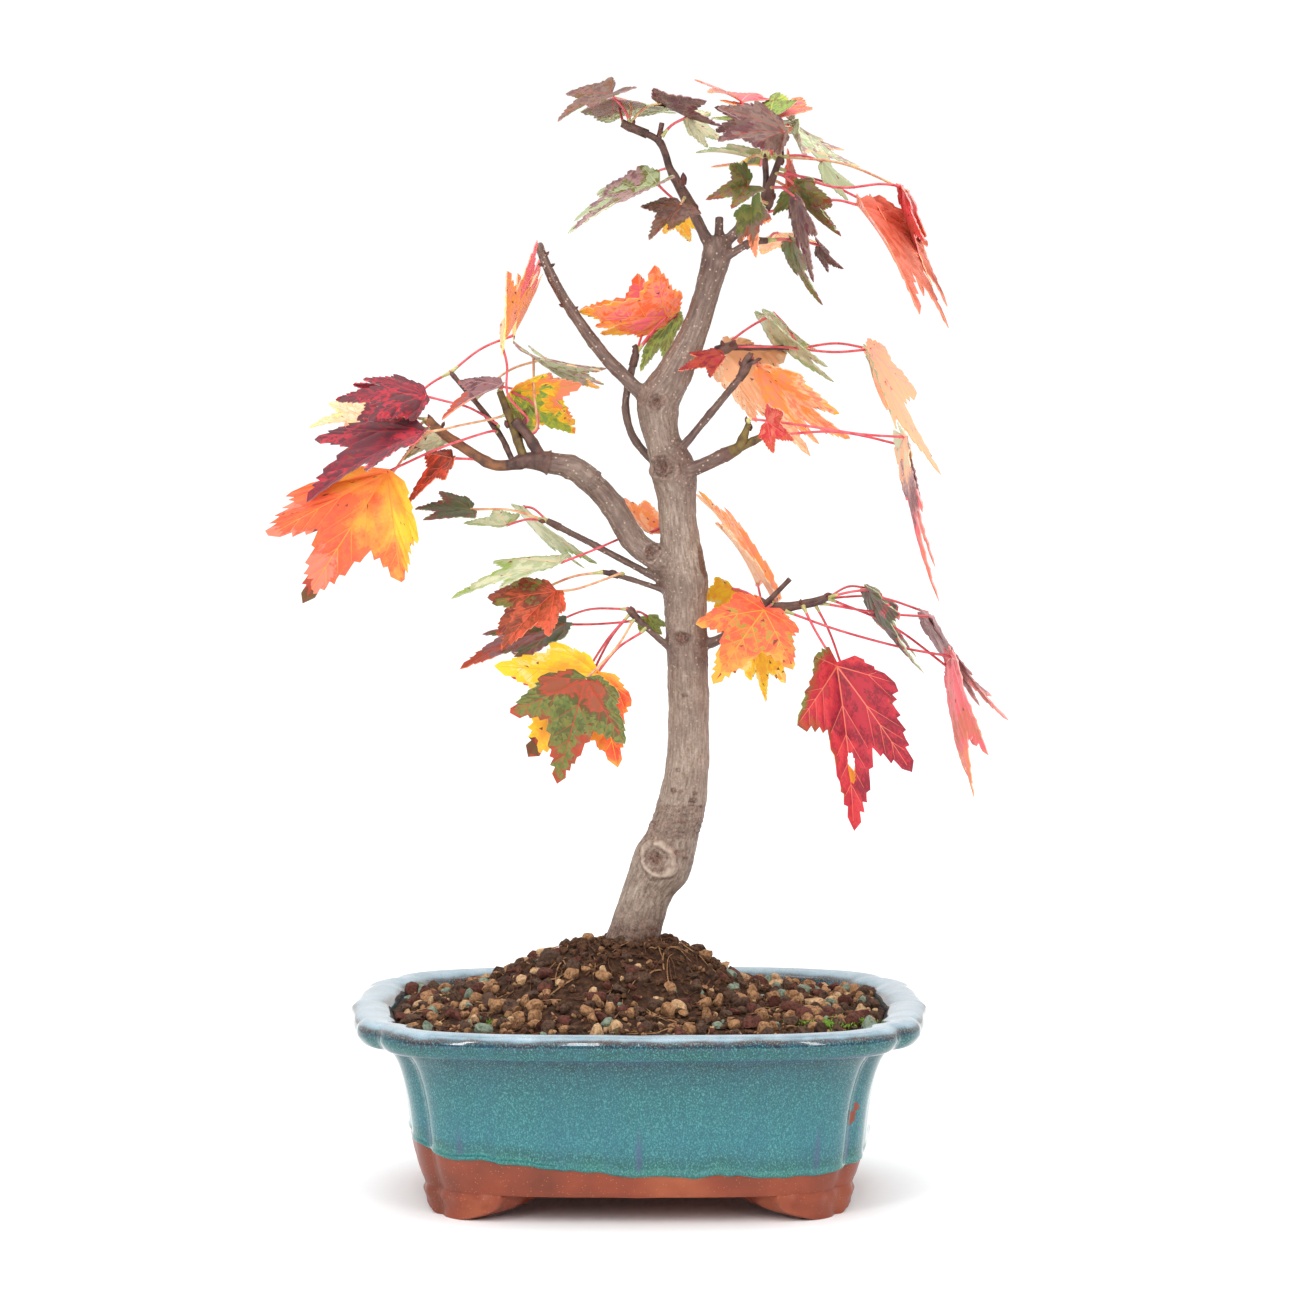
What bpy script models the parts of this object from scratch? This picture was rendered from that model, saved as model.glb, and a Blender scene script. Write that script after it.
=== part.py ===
"""Red maple bonsai in a glazed eight-sided pot.

The pot stands on the ground plane with its centre on the Z axis, its long side along X and its
front towards -Y. Lengths in the tables are millimetres. Everything is built in metres, +Z up.
"""

import math
import random

import bmesh
import bpy
from mathutils import Matrix, Vector
from mathutils.bvhtree import BVHTree

MM = 0.001
GAP = 0.3  # between neighbouring solids, so that no two of them touch
SEED = 1307

# Pot
POT_HALF_LENGTH = 105.0
POT_HALF_WIDTH = 82.0
POT_BASE_HEIGHT = 10.0  # underside of the body, on its four feet
POT_FLOOR_HEIGHT = 16.0
POT_RIM_HEIGHT = 71.0
DRAIN_HOLE_RADIUS = 6.0
DRAIN_HOLE_OFFSET = 36.0

# One quarter of the rim seen from above, as shares of the half length and half width: from the
# blunt point of the end, over the corner lobe between its two creases, to the point in front.
RIM_QUARTER = (
    (1.000, 0.000), (0.986, 0.180), (0.976, 0.340), (0.960, 0.450), (0.957, 0.540),
    (0.928, 0.620), (0.884, 0.672), (0.862, 0.756), (0.810, 0.826), (0.720, 0.890),
    (0.520, 0.958), (0.300, 0.980), (0.110, 0.984),
)
FRONT_POINT = (0.000, 1.000)

# The pot's wall as (share of the rim's outline, height): up the outside, over the rolled lip
POT_OUTSIDE = (
    (0.762, POT_BASE_HEIGHT), (0.788, 20.0), (0.815, 39.0), (0.852, 53.0), (0.893, 60.6),
    (0.955, 61.2), (1.000, 65.5), (0.990, 69.0), (0.945, POT_RIM_HEIGHT),
)
# and down the inside to the floor
POT_INSIDE = ((0.868, 69.4), (0.850, 65.5), (0.762, 38.0), (0.700, POT_FLOOR_HEIGHT))

# A foot follows the corner of the body, and draws in towards it on the way down
FOOT_CENTRE = (60.0, 40.0)
FOOT_HALF_SIZE = (22.0, 21.0)
FOOT_LOBES = 4
FOOT_LOBE_DEPTH = 0.09
FOOT_DRAW = (7.0, 4.5)
FOOT_PROFILE = ((1.00, 12.0), (0.96, 8.4), (0.80, 7.0), (0.62, 1.6), (0.46, 0.0))
FOOT_POINTS = 16
FOOT_LIMIT = 0.752  # share of the rim's outline that the feet keep within

# Soil
SOIL_EDGE_HEIGHT = 65.0
SOIL_CROWN_HEIGHT = 90.0
SOIL_MOUND_RADIUS = 44.0
SOIL_SHOULDER = 8.0  # rise of the soil from the rim to the foot of the mound
SOIL_RINGS = (0.78, 0.55, 0.33)
TRUNK_FOOT = (-3.0, 8.0)
TRUNK_SEAT_RADIUS = 14.0
GRAIN_SPACING = 18.0  # between the few large grains that stand for the grit
GRAIN_JITTER = 2.5
GRAIN_RADIUS = 4.4
GRAIN_SQUASH = 0.8
GRAIN_SUNK = 0.6  # depth of a grain's middle under the soil
GRAIN_FIELD = 0.74  # reach of the grit, as a share of the rim

# Trunk as (height, offset along X, width). The pruning scars swell it.
TRUNK_CUT_HEIGHT = SOIL_CROWN_HEIGHT + GAP
TRUNK_STATIONS = (
    (TRUNK_CUT_HEIGHT, -3.0, 23.5), (96.0, -1.4, 18.4), (111.0, 3.6, 18.2), (119.7, 8.0, 21.8),
    (129.0, 11.6, 19.4), (142.5, 15.6, 17.4), (161.6, 17.8, 15.2), (188.3, 17.8, 14.8),
    (216.0, 16.7, 15.4), (223.3, 16.3, 17.2), (236.0, 14.9, 14.6), (251.6, 13.8, 13.6),
    (264.0, 12.4, 16.6), (275.2, 8.6, 12.6), (288.3, 6.9, 15.4), (299.0, 12.7, 13.0),
    (314.3, 19.9, 9.8), (330.0, 24.9, 9.0), (342.0, 28.0, 10.4), (348.5, 28.3, 8.8),
)
TRUNK_LEAN_DEPTH = 8.0  # how far the foot stands behind the middle plane
TRUNK_UPRIGHT_HEIGHT = 240.0  # where the trunk has come forward to the middle plane
TRUNK_STEPS = 2  # rings between two stations
TRUNK_SIDES = 10

# Boughs: points from root to tip, and the radius at each end
BOUGHS = {
    "bough_left_inner": (((12, 0, 229), (-1, -2, 238), (-9, -3, 251), (-17.6, -4, 261)), 4.6, 4.4),
    "bough_left_outer": (((-18.4, -4, 261.6), (-24, -4, 265.5), (-34, -5, 267.6)), 4.6, 3.9),
    "bough_upper_left": (
        ((4, 0, 289), (-9.7, 1, 302.4), (-19, 2, 314), (-30, 4, 331), (-36.4, 5, 345.7)), 2.7, 1.6),
    "bough_centre_left": (
        ((10, 5, 262), (-1, 6, 274), (-4.6, 7, 284), (-4.2, 7, 293), (-1.8, 7, 303)), 1.5, 1.2),
    "bough_right_upper": (((14, -2, 270.5), (24, -5, 283), (37, -8, 299)), 1.5, 1.2),
    "bough_right_middle": (((13, -2, 263), (22, -5, 266), (32, -9, 271)), 2.9, 2.4),
    "bough_right_low": (((21, 0, 200), (31, 0, 204), (43, -1, 215)), 2.0, 1.7),
    "bough_left_middle": (((11, 1, 222.5), (0, 1, 228.5), (-12, 0, 235), (-30, -2, 244.5)), 1.4, 1.2),
    "bough_left_spur": (((12, 0, 219.5), (0, 0, 223.8), (-9, -1, 226.5)), 1.1, 1.0),
    "bough_left_low": (((13, 1, 198), (4, 0, 206), (-1.5, -1, 211.5)), 1.3, 1.1),
    "bough_crown_left": (((27, 0, 342), (21.5, 0, 353), (17.5, 0, 361)), 2.2, 1.9),
    "bough_crown_right": (((29, 0, 344), (37.5, 0, 352.5), (45, 0, 359)), 2.1, 1.8),
    "bough_crown_stub": (((28.6, 0, 345), (28.8, 0, 351), (28.9, 0, 355.5)), 1.7, 1.5),
    "bough_crown_low": (((27, -1, 337.5), (35, -3, 343.5), (39.5, -4, 346)), 1.6, 1.4),
}
BOUGH_STEP = 6.0
BOUGH_SIDES = 6

# Foliage: the stem's points go on from the carrier's tip, GAP clear of it. Each leaf gives the
# place of its blade's foot, the place of its tip, and how far its upper face is turned about the
# midrib, in degrees from facing the front. A carrier named "trunk" is met at the stem's own root.
FOLIAGE = {
    "foliage_left": {
        "carrier": "bough_left_outer",
        "stem": ((-41, -5, 268), (-52, -5, 266.5), (-69, -6, 277), (-76, -6, 283)),
        "twigs": (((-41, -5, 268), (-47, -4, 285), (-50, -4, 293)),
                  ((-45, -5, 267), (-52, 2, 280), (-68, 8, 299))),
        "leaves": (
            ((-90, -18, 265), (-120, -32, 219), 5), ((-77, -14, 279), (-119, -30, 256), 62),
            ((-77, 0, 291), (-107, -14, 289), 50), ((-96, 14, 280), (-119, 8, 281), 55),
            ((-71, 10, 275), (-86, 4, 269), 60), ((-67, -6, 269), (-83, -12, 252), 50),
            ((-49, -6, 295), (-70, -16, 284), 65), ((-46, 8, 292), (-21, 18, 284), 20),
            ((-38, 6, 305), (-15, 18, 294), 70), ((-49, -12, 310), (-38, -16, 346), 75),
        ),
    },
    "foliage_left_middle": {
        "carrier": "bough_left_middle",
        "stem": ((-33, -2, 246),),
        "twigs": (),
        "leaves": (
            ((-61, 12, 249), (-80, 10, 250), 60), ((-48, 14, 243), (-64, 22, 245), 75),
            ((-42, 24, 249), (-15, 30, 229), 80),
        ),
    },
    "foliage_left_spur": {
        "carrier": "bough_left_spur",
        "stem": ((-13, -2, 227.5),),
        "twigs": (),
        "leaves": (((-28, -14, 232), (-67, -26, 219), 70), ((-30, -18, 222), (-49, -28, 201), 20)),
    },
    "foliage_left_low": {
        "carrier": "bough_left_low",
        "stem": ((-4, -1, 214),),
        "twigs": (),
        "leaves": (
            ((-19, -24, 191), (-29, -34, 155), 5), ((-15, -12, 192), (-40, -20, 163), 10),
            ((-27, 12, 207), (-63, 10, 193), 50), ((3, 12, 210), (8, 17, 202), 30),
        ),
    },
    "foliage_centre_left": {
        "carrier": "bough_centre_left",
        "stem": ((-1, 7.2, 306),),
        "twigs": (),
        "leaves": (((10, 12, 319), (-21, 2, 322), -30), ((14, 22, 319), (1, 26, 298), 60)),
    },
    "foliage_right_upper": {
        "carrier": "trunk",
        "stem": ((14, 4, 301), (24, 6, 305), (32, 8, 308)),
        "twigs": (),
        "leaves": (
            ((84, 14, 307), (107, 12, 263), 135), ((31, 14, 307), (64, 18, 269), 166),
            ((47, 12, 319), (71, 24, 295), 75), ((30, -10, 306), (14, -20, 302), 40),
        ),
    },
    "foliage_right_centre": {
        "carrier": "bough_right_upper",
        "stem": ((38.5, -8, 301), (40.5, -8, 305)),
        "twigs": (),
        "leaves": (((43, 0, 302), (70, 2, 277), 20),),
    },
    "foliage_right_middle": {
        "carrier": "bough_right_middle",
        "stem": ((36, -11, 273.5), (39.4, -13, 282)),
        "twigs": (((34, -10, 272), (44.5, -12, 277.4)),),
        "leaves": (((95, -24, 278), (110, -26, 219), 75), ((46, -16, 283), (54, -27, 277), 30)),
    },
    "foliage_right_low": {
        "carrier": "bough_right_low",
        "stem": ((47, -1, 213.5), (63.5, -1, 216), (68, -1, 218)),
        "twigs": (((45, -1, 215), (54.5, -2, 225)),),
        "leaves": (
            ((71, -16, 195), (77, -34, 137), -8), ((45, -14, 215), (27, -30, 190), 12),
            ((113, -4, 197), (122, -14, 147), 68), ((107, 10, 210), (132, 4, 175), 80),
            ((83, 0, 221), (104, -8, 189), 64), ((43, -2, 203), (47, -10, 181), 20),
            ((34, 13, 220), (27, 15, 206), 20), ((49, 14, 215), (22, 24, 254), 72),
        ),
    },
    "foliage_crown_left": {
        "carrier": "bough_crown_left",
        "stem": ((11, 0, 373), (7, 0, 382.7), (-5.5, -1, 388.4)),
        "twigs": (((7, 0, 382.7), (8.3, 1, 389)), ((16, 0, 364), (14.8, -2, 369))),
        "leaves": (
            ((-10, -2, 399), (-29, -20, 389), 66), ((-9, 4, 398), (11, 26, 391), 68),
            ((8, 0, 396), (32, -8, 389), 62), ((17, -2, 391), (29, 6, 380), 150),
            ((7, -6, 367), (-25, -16, 350), 76), ((15, -8, 360), (4, -27, 348), 35),
            ((14, 8, 357), (18, 14, 345), 30),
        ),
    },
    "foliage_crown_low": {
        "carrier": "bough_crown_low",
        "stem": ((46, -3, 347),),
        "twigs": (),
        "leaves": (
            ((52, 2, 348), (65, -4, 325), 55), ((50, 14, 349), (58, 30, 342), 40),
            ((65, 4, 345), (72, -2, 336), 70),
        ),
    },
    "foliage_crown_right": {
        "carrier": "bough_crown_right",
        "stem": ((47, 0, 366), (50.8, -1, 377)),
        "twigs": (((46, 0, 362), (45.5, 4, 376)),),
        "leaves": (
            ((78, -6, 360), (109, -16, 316), -68), ((95, 6, 366), (105, 12, 329), 78),
            ((52, -14, 386), (28, -32, 384), 48), ((55, -8, 388), (79, -22, 375), 66),
            ((47, 16, 390), (32, 38, 394), 60), ((37, 26, 396), (26, 46, 401), 80),
            ((50, 22, 390), (39, 48, 397), 60), ((40, 20, 376), (21, 26, 380), 84),
            ((44, 24, 373), (33, 44, 374), 70), ((43, -16, 363), (23, -34, 363), 25),
            ((53, 8, 366), (57, 22, 375), 50), ((66, 12, 375), (79, 26, 365), 110),
            ((56, -14, 367), (72, -32, 350), 40), ((38, -22, 358), (42, -30, 342), 50),
            ((53, -26, 363), (62, -38, 333), 58),
        ),
    },
    "foliage_trunk_back": {
        "carrier": "trunk",
        "stem": ((15, 2, 236), (13, 12, 239), (11, 20, 242)),
        "twigs": (),
        "leaves": (((4, 16, 240), (-11, 24, 256), 72),),
    },
}

# Behind each leaf longer than this stands another, so that the crown is full from the back
BACKED_LEAF_LENGTH = 28.0
BACKING_DEPTH = (24.0, 46.0)
BACKING_SCALE = (0.72, 0.88)
BACKING_SPREAD = 3.0
CROWN_REACH = ((-134.5, -78.0, 130.0), (136.5, 78.0, 404.5))  # corners of the crown's space

# The blade as (angle from the midrib, reach) on one side, from the middle lobe's tip over the
# side lobe to the small lobe at the foot. Reach is a share of the blade's length.
LEAF_HALF = (
    (13, 0.72), (27, 0.50), (47, 0.86), (62, 0.60), (76, 0.46), (96, 0.52), (140, 0.27),
)
LEAF_NOTCH = 0.04
LEAF_BREADTH = 0.88
LEAF_HUB = 0.14  # the thickest place, as a share of the length from the foot
LEAF_THICKNESS = 0.034  # at the hub, as a share of the length
LEAF_LEAST_THICKNESS = 1.3
LEAF_FOLD = 0.16  # rise of the side lobes from the midrib
LEAF_DROOP = 0.12  # fall of the middle lobe's tip

PETIOLE_RADIUS = 0.62
PETIOLE_ARCH = 0.12
PETIOLE_STEPS = 2
TWIG_RADII = (1.3, 0.85)
STEM_LEAD = 1.5  # how far a stem runs on in line with its bough
TWIG_SIDES = 4
LEAF_STALK_REACH = 62.0  # a leaf further from the wood than this gets a twig first
TWIG_SHARE = 0.5

COLOURS = {
    "glaze": ((0.070, 0.275, 0.300), 0.12),
    "soil": ((0.060, 0.026, 0.014), 0.95),
    "bark": ((0.240, 0.165, 0.125), 0.80),
    "crown": ((0.560, 0.140, 0.060), 0.55),
}


def millimetres(point):
    return Vector(point) * MM


def make_material(name):
    """A plain principled material from the colour table."""
    colour, roughness = COLOURS[name]
    material = bpy.data.materials.new(name)
    material.use_nodes = True
    shader = material.node_tree.nodes["Principled BSDF"]
    shader.inputs["Base Color"].default_value = (*colour, 1.0)
    shader.inputs["Roughness"].default_value = roughness
    shader.inputs["Metallic"].default_value = 0.0
    return material


def add_object(name, mesh, collection, material=None):
    obj = bpy.data.objects.new(name, mesh)
    collection.objects.link(obj)
    if material:
        mesh.materials.clear()
        mesh.materials.append(material)
    return obj


def mesh_from(bm, name):
    """Turn the working mesh into mesh data, with its faces pointing out."""
    bmesh.ops.recalc_face_normals(bm, faces=bm.faces)
    mesh = bpy.data.meshes.new(name)
    bm.to_mesh(mesh)
    bm.free()
    return mesh


def smooth_path(points, step):
    """Points along a Catmull-Rom curve through the given ones, about a step apart."""
    points = [Vector(p) for p in points]
    ends = [points[0] * 2 - points[1], *points, points[-1] * 2 - points[-2]]
    path = []
    for a, b, c, d in zip(ends, ends[1:], ends[2:], ends[3:]):
        count = max(1, round((c - b).length / step))
        for k in range(count):
            t = k / count
            path.append(0.5 * (2 * b + (c - a) * t + (2 * a - 5 * b + 4 * c - d) * t * t
                               + (3 * b - 3 * c + d - a) * t ** 3))
    path.append(points[-1])
    return path


def tube_mesh(name, path, radii, sides):
    """A closed tapering tube along a path, from a curve with a bevel."""
    curve = bpy.data.curves.new(name, "CURVE")
    curve.dimensions = "3D"
    curve.bevel_depth = MM
    curve.bevel_resolution = (sides - 4) // 2
    curve.use_fill_caps = True
    spline = curve.splines.new("POLY")
    spline.points.add(len(path) - 1)
    for spot, place, radius in zip(spline.points, path, radii):
        spot.co = (*millimetres(place), 1.0)
        spot.radius = radius
    guide = add_object(name, curve, bpy.context.scene.collection)
    evaluated = guide.evaluated_get(bpy.context.evaluated_depsgraph_get())
    mesh = bpy.data.meshes.new_from_object(evaluated)
    bpy.data.objects.remove(guide)
    bpy.data.curves.remove(curve)
    bm = bmesh.new()
    bm.from_mesh(mesh)
    bpy.data.meshes.remove(mesh)
    bmesh.ops.remove_doubles(bm, verts=bm.verts, dist=0.01 * MM)
    return mesh_from(bm, name)


def taper(path, root, tip):
    last = len(path) - 1
    return [root + (tip - root) * k / last for k in range(last + 1)]


def rim_outline():
    """The whole outline of the rim, as shares of the half length and half width."""
    quarter = [Vector(p) for p in RIM_QUARTER]
    front = Vector(FRONT_POINT)
    half = quarter + [front] + [Vector((-p.x, p.y)) for p in reversed(quarter)]
    return half + [Vector((-p.x, -p.y)) for p in half[1:-1]]


def pot_ring(share, height, inset=0.0):
    """The rim's outline brought in to a share of its size, less an inset."""
    reach = Vector((POT_HALF_LENGTH * share - inset, POT_HALF_WIDTH * share - inset))
    return [Vector((p.x * reach.x, p.y * reach.y, height)) for p in rim_outline()]


def loft(rings):
    """A closed skin over rings of equally many points, with a flat cap at each end."""
    bm = bmesh.new()
    loops = [[bm.verts.new(millimetres(p)) for p in ring] for ring in rings]
    for low, high in zip(loops, loops[1:]):
        for k in range(len(low)):
            after = (k + 1) % len(low)
            bm.faces.new((low[k], low[after], high[after], high[k]))
    bm.faces.new(loops[0])
    bm.faces.new(loops[-1])
    return bm


def body_reach(x, y):
    """How far the body's foot line reaches from the middle, in the direction of a place."""
    wanted = math.atan2(y, x)
    corner = [(math.atan2(p.y, p.x), p.length) for p in pot_ring(FOOT_LIMIT, 0) if p.x >= 0 <= p.y]
    corner.sort()
    for (start, near), (end, far) in zip(corner, corner[1:]):
        if start <= wanted <= end:
            return near + (far - near) * (wanted - start) / (end - start)
    return corner[-1][1]


def foot_ring(share, height, side):
    """One level of a foot, its side given as the signs of X and Y."""
    ring = []
    for k in range(FOOT_POINTS):
        angle = 2 * math.pi * k / FOOT_POINTS
        reach = share * (1 + FOOT_LOBE_DEPTH * math.cos(FOOT_LOBES * angle))
        x, y = (FOOT_CENTRE[n] + FOOT_DRAW[n] * (1 - share) + FOOT_HALF_SIZE[n] * reach * turn
                for n, turn in enumerate((math.cos(angle), math.sin(angle))))
        within = min(1.0, body_reach(x, y) / math.hypot(x, y))
        ring.append(Vector((side[0] * x * within, side[1] * y * within, height)))
    return ring


def boolean(obj, operation, operands, collection):
    """Apply a Boolean with every object of a collection, and remove those objects."""
    for other in operands:
        for holder in list(other.users_collection):
            holder.objects.unlink(other)
        collection.objects.link(other)
    modifier = obj.modifiers.new("join", "BOOLEAN")
    modifier.operation = operation
    modifier.operand_type = "COLLECTION"
    modifier.collection = collection
    modifier.solver = "EXACT"
    evaluated = obj.evaluated_get(bpy.context.evaluated_depsgraph_get())
    joined = bpy.data.meshes.new_from_object(evaluated)
    obj.modifiers.clear()
    obj.data = joined
    for other in operands:
        bpy.data.objects.remove(other)


def keep_main_body(obj):
    """Drop loose scraps and sealed hollows, which are the smaller shells of a joined mesh."""
    bm = bmesh.new()
    bm.from_mesh(obj.data)
    shells, seen = [], set()
    for start in bm.verts:
        if start in seen:
            continue
        shell, front = {start}, [start]
        while front:
            for edge in front.pop().link_edges:
                for vert in edge.verts:
                    if vert not in shell:
                        shell.add(vert)
                        front.append(vert)
        seen |= shell
        shells.append(shell)
    largest = max(shells, key=len)
    loose = [vert for shell in shells if shell is not largest for vert in shell]
    bmesh.ops.delete(bm, geom=loose, context="VERTS")
    bm.to_mesh(obj.data)
    bm.free()


def make_pot(parts, cutters, material):
    """The body with its rolled lip, two drain holes and four cloud feet, in one piece."""
    wall = [pot_ring(share, height) for share, height in POT_OUTSIDE + POT_INSIDE]
    pot = add_object("pot", mesh_from(loft(wall), "pot"), parts, material)
    feet = []
    for sx in (-1, 1):
        for sy in (-1, 1):
            rings = [foot_ring(share, height, (sx, sy)) for share, height in FOOT_PROFILE]
            feet.append(add_object("foot", mesh_from(loft(rings), "foot"), cutters))
    boolean(pot, "UNION", feet, cutters)
    holes = []
    for side in (-1, 1):
        bm = bmesh.new()
        middle = (side * DRAIN_HOLE_OFFSET, 0, (POT_BASE_HEIGHT + POT_FLOOR_HEIGHT) / 2)
        bmesh.ops.create_cone(
            bm, cap_ends=True, segments=20, radius1=DRAIN_HOLE_RADIUS * MM,
            radius2=DRAIN_HOLE_RADIUS * MM, depth=3 * (POT_FLOOR_HEIGHT - POT_BASE_HEIGHT) * MM,
            matrix=Matrix.Translation(millimetres(middle)))
        holes.append(add_object("drain_hole", mesh_from(bm, "drain_hole"), cutters))
    boolean(pot, "DIFFERENCE", holes, cutters)
    return pot


def soil_height(x, y):
    """Height of the soil: a low shoulder from the rim, and the mound at the trunk's foot."""
    edge = min(1.0, (x / POT_HALF_LENGTH / 0.85) ** 2 + (y / POT_HALF_WIDTH / 0.85) ** 2)
    distance = math.hypot(x - TRUNK_FOOT[0], y - TRUNK_FOOT[1]) - TRUNK_SEAT_RADIUS
    mound = math.exp(-(max(0.0, distance) / SOIL_MOUND_RADIUS) ** 2 * 2.2)
    shoulder = SOIL_EDGE_HEIGHT + SOIL_SHOULDER * (1 - edge)
    return shoulder + (SOIL_CROWN_HEIGHT - shoulder) * mound * (1 - edge)


def make_grains(cutters):
    """The largest grains of the grit, in staggered rows over the soil and clear of the trunk."""
    rng = random.Random(SEED)
    row_height = GRAIN_SPACING * math.sqrt(0.75)
    rows = math.ceil(POT_HALF_WIDTH / row_height)
    columns = math.ceil(POT_HALF_LENGTH / GRAIN_SPACING)
    grains = []
    for row in range(-rows, rows + 1):
        for column in range(-columns, columns + 1):
            x = (column + row % 2 / 2) * GRAIN_SPACING + rng.uniform(-GRAIN_JITTER, GRAIN_JITTER)
            y = row * row_height + rng.uniform(-GRAIN_JITTER, GRAIN_JITTER)
            turn = Matrix.Rotation(rng.uniform(0, math.pi), 4, "Z")
            from_trunk = math.hypot(x - TRUNK_FOOT[0], y - TRUNK_FOOT[1])
            if math.hypot(x / POT_HALF_LENGTH, y / POT_HALF_WIDTH) > GRAIN_FIELD:
                continue
            if from_trunk < TRUNK_SEAT_RADIUS + GRAIN_RADIUS:
                continue
            place = Matrix.Translation(millimetres((x, y, soil_height(x, y) - GRAIN_SUNK)))
            bm = bmesh.new()
            bmesh.ops.create_icosphere(
                bm, subdivisions=1, radius=GRAIN_RADIUS * MM,
                matrix=place @ turn @ Matrix.Diagonal((1, 1, GRAIN_SQUASH, 1)))
            grains.append(add_object("grain", mesh_from(bm, "grain"), cutters))
    return grains


def make_soil(parts, cutters, material):
    """The root ball in the pot, heaped up to a flat seat under the trunk, with grit on it."""
    inside = [(share, height) for share, height in POT_INSIDE[1:]]
    inside[0] = (inside[0][0], SOIL_EDGE_HEIGHT)
    inside[-1] = (inside[-1][0], inside[-1][1] + GAP)
    rings = [pot_ring(share, height, 2 * GAP) for share, height in reversed(inside)]
    foot = Vector((*TRUNK_FOOT, 0))
    edge = rings[-1]
    for share in SOIL_RINGS:
        ring = []
        for p in edge:
            spot = foot + (p - foot) * share
            ring.append(Vector((spot.x, spot.y, soil_height(spot.x, spot.y))))
        rings.append(ring)
    seat = []
    for p in edge:
        way = Vector((p.x - foot.x, p.y - foot.y)).normalized() * TRUNK_SEAT_RADIUS
        seat.append(Vector((foot.x + way.x, foot.y + way.y, SOIL_CROWN_HEIGHT)))
    rings.append(seat)
    soil = add_object("soil", mesh_from(loft(rings), "soil"), parts, material)
    boolean(soil, "UNION", make_grains(cutters), cutters)
    return soil


def trunk_depth(height):
    """How far behind the middle plane the trunk is at a height."""
    rise = (height - TRUNK_CUT_HEIGHT) / (TRUNK_UPRIGHT_HEIGHT - TRUNK_CUT_HEIGHT)
    return TRUNK_LEAN_DEPTH * max(0.0, 1 - rise) ** 1.5


def trunk_mesh(name, swell=0.0):
    """The trunk from its flat cut to the fork, or a fatter one that cuts seats for the boughs."""
    points = [(x, trunk_depth(z), z, width / 2 + swell) for z, x, width in TRUNK_STATIONS]
    path, radii = [], []
    for k in range(len(points) - 1):
        before, here = points[max(0, k - 1)], points[k]
        after, beyond = points[k + 1], points[min(len(points) - 1, k + 2)]
        for step in range(TRUNK_STEPS):
            t = step / TRUNK_STEPS
            spot = [0.5 * (2 * b + (c - a) * t + (2 * a - 5 * b + 4 * c - d) * t * t
                           + (3 * b - 3 * c + d - a) * t ** 3)
                    for a, b, c, d in zip(before, here, after, beyond)]
            path.append(Vector(spot[:3]))
            radii.append(spot[3])
    path.append(Vector(points[-1][:3]))
    radii.append(points[-1][3])
    path[1].x, path[1].y = path[0].x, path[0].y  # the first stretch is upright, so the cut is flat
    return tube_mesh(name, path, radii, TRUNK_SIDES)


def seat_on_trunk(obj, cutters):
    """Cut a limb's root to the trunk's surface, a gap clear of it."""
    fat_trunk = add_object("trunk_cutter", trunk_mesh("trunk_cutter", GAP), cutters)
    boolean(obj, "DIFFERENCE", [fat_trunk], cutters)
    keep_main_body(obj)


def make_boughs(parts, cutters, material):
    boughs = []
    for name, (points, root, tip) in BOUGHS.items():
        path = smooth_path(points, BOUGH_STEP)
        mesh = tube_mesh(name, path, taper(path, root, tip), BOUGH_SIDES)
        bough = add_object(name, mesh, parts, material)
        if name != "bough_left_outer":
            seat_on_trunk(bough, cutters)
        boughs.append(bough)
    return boughs


def leaf_frame(base, tip, turn):
    """The blade's own axes: along the midrib, across it, and out of its upper face."""
    along = (tip - base).normalized()
    front = Vector((0, -1, 0))
    face = (front - along * front.dot(along)).normalized()
    across = along.cross(face)
    angle = math.radians(turn)
    normal = face * math.cos(angle) + across * math.sin(angle)
    return along, normal.cross(along), normal


def leaf_outline():
    """Angles and reaches of the blade's outline, all the way round from the tip."""
    half = list(LEAF_HALF)
    return ([(0, 1.0)] + half + [(180, LEAF_NOTCH)]
            + [(360 - angle, reach) for angle, reach in reversed(half)])


def blade_mesh(base, tip, turn):
    """A lobed blade, thin at its edge: a two-sided cone whose rim is the leaf's outline."""
    along, across, normal = leaf_frame(base, tip, turn)
    length = (tip - base).length
    outline = leaf_outline()
    bm = bmesh.new()
    bmesh.ops.create_uvsphere(bm, u_segments=len(outline), v_segments=2, radius=1.0)
    rim = sorted((v for v in bm.verts if abs(v.co.z) < 0.5),
                 key=lambda v: math.atan2(v.co.y, v.co.x) % (2 * math.pi))
    for vert, (degrees, reach) in zip(rim, outline):
        angle = math.radians(degrees)
        ahead, aside = reach * math.cos(angle), LEAF_BREADTH * reach * math.sin(angle)
        rise = LEAF_FOLD * abs(aside) - LEAF_DROOP * max(0.0, ahead) ** 2
        vert.co = millimetres(base + length * (along * ahead + across * aside + normal * rise))
    thickness = max(LEAF_LEAST_THICKNESS, LEAF_THICKNESS * length)
    hub = base + along * LEAF_HUB * length
    for vert in bm.verts:
        if vert not in rim:
            side = 0.5 if vert.co.z > 0 else -0.5
            vert.co = millimetres(hub + normal * side * thickness)
    return mesh_from(bm, "blade")


def stalk_path(root, hub, rng):
    """A leaf stalk that arches from the wood to the hub of its blade."""
    reach = PETIOLE_ARCH * (hub - root).length
    lift = Vector((rng.uniform(-0.3, 0.3), rng.uniform(-0.3, 0.3), 1.0)) * reach
    middle = (root + hub) / 2 + lift
    path = []
    for k in range(PETIOLE_STEPS + 1):
        t = k / PETIOLE_STEPS
        path.append(root * (1 - t) ** 2 + middle * 2 * t * (1 - t) + hub * t * t)
    return path


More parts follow.
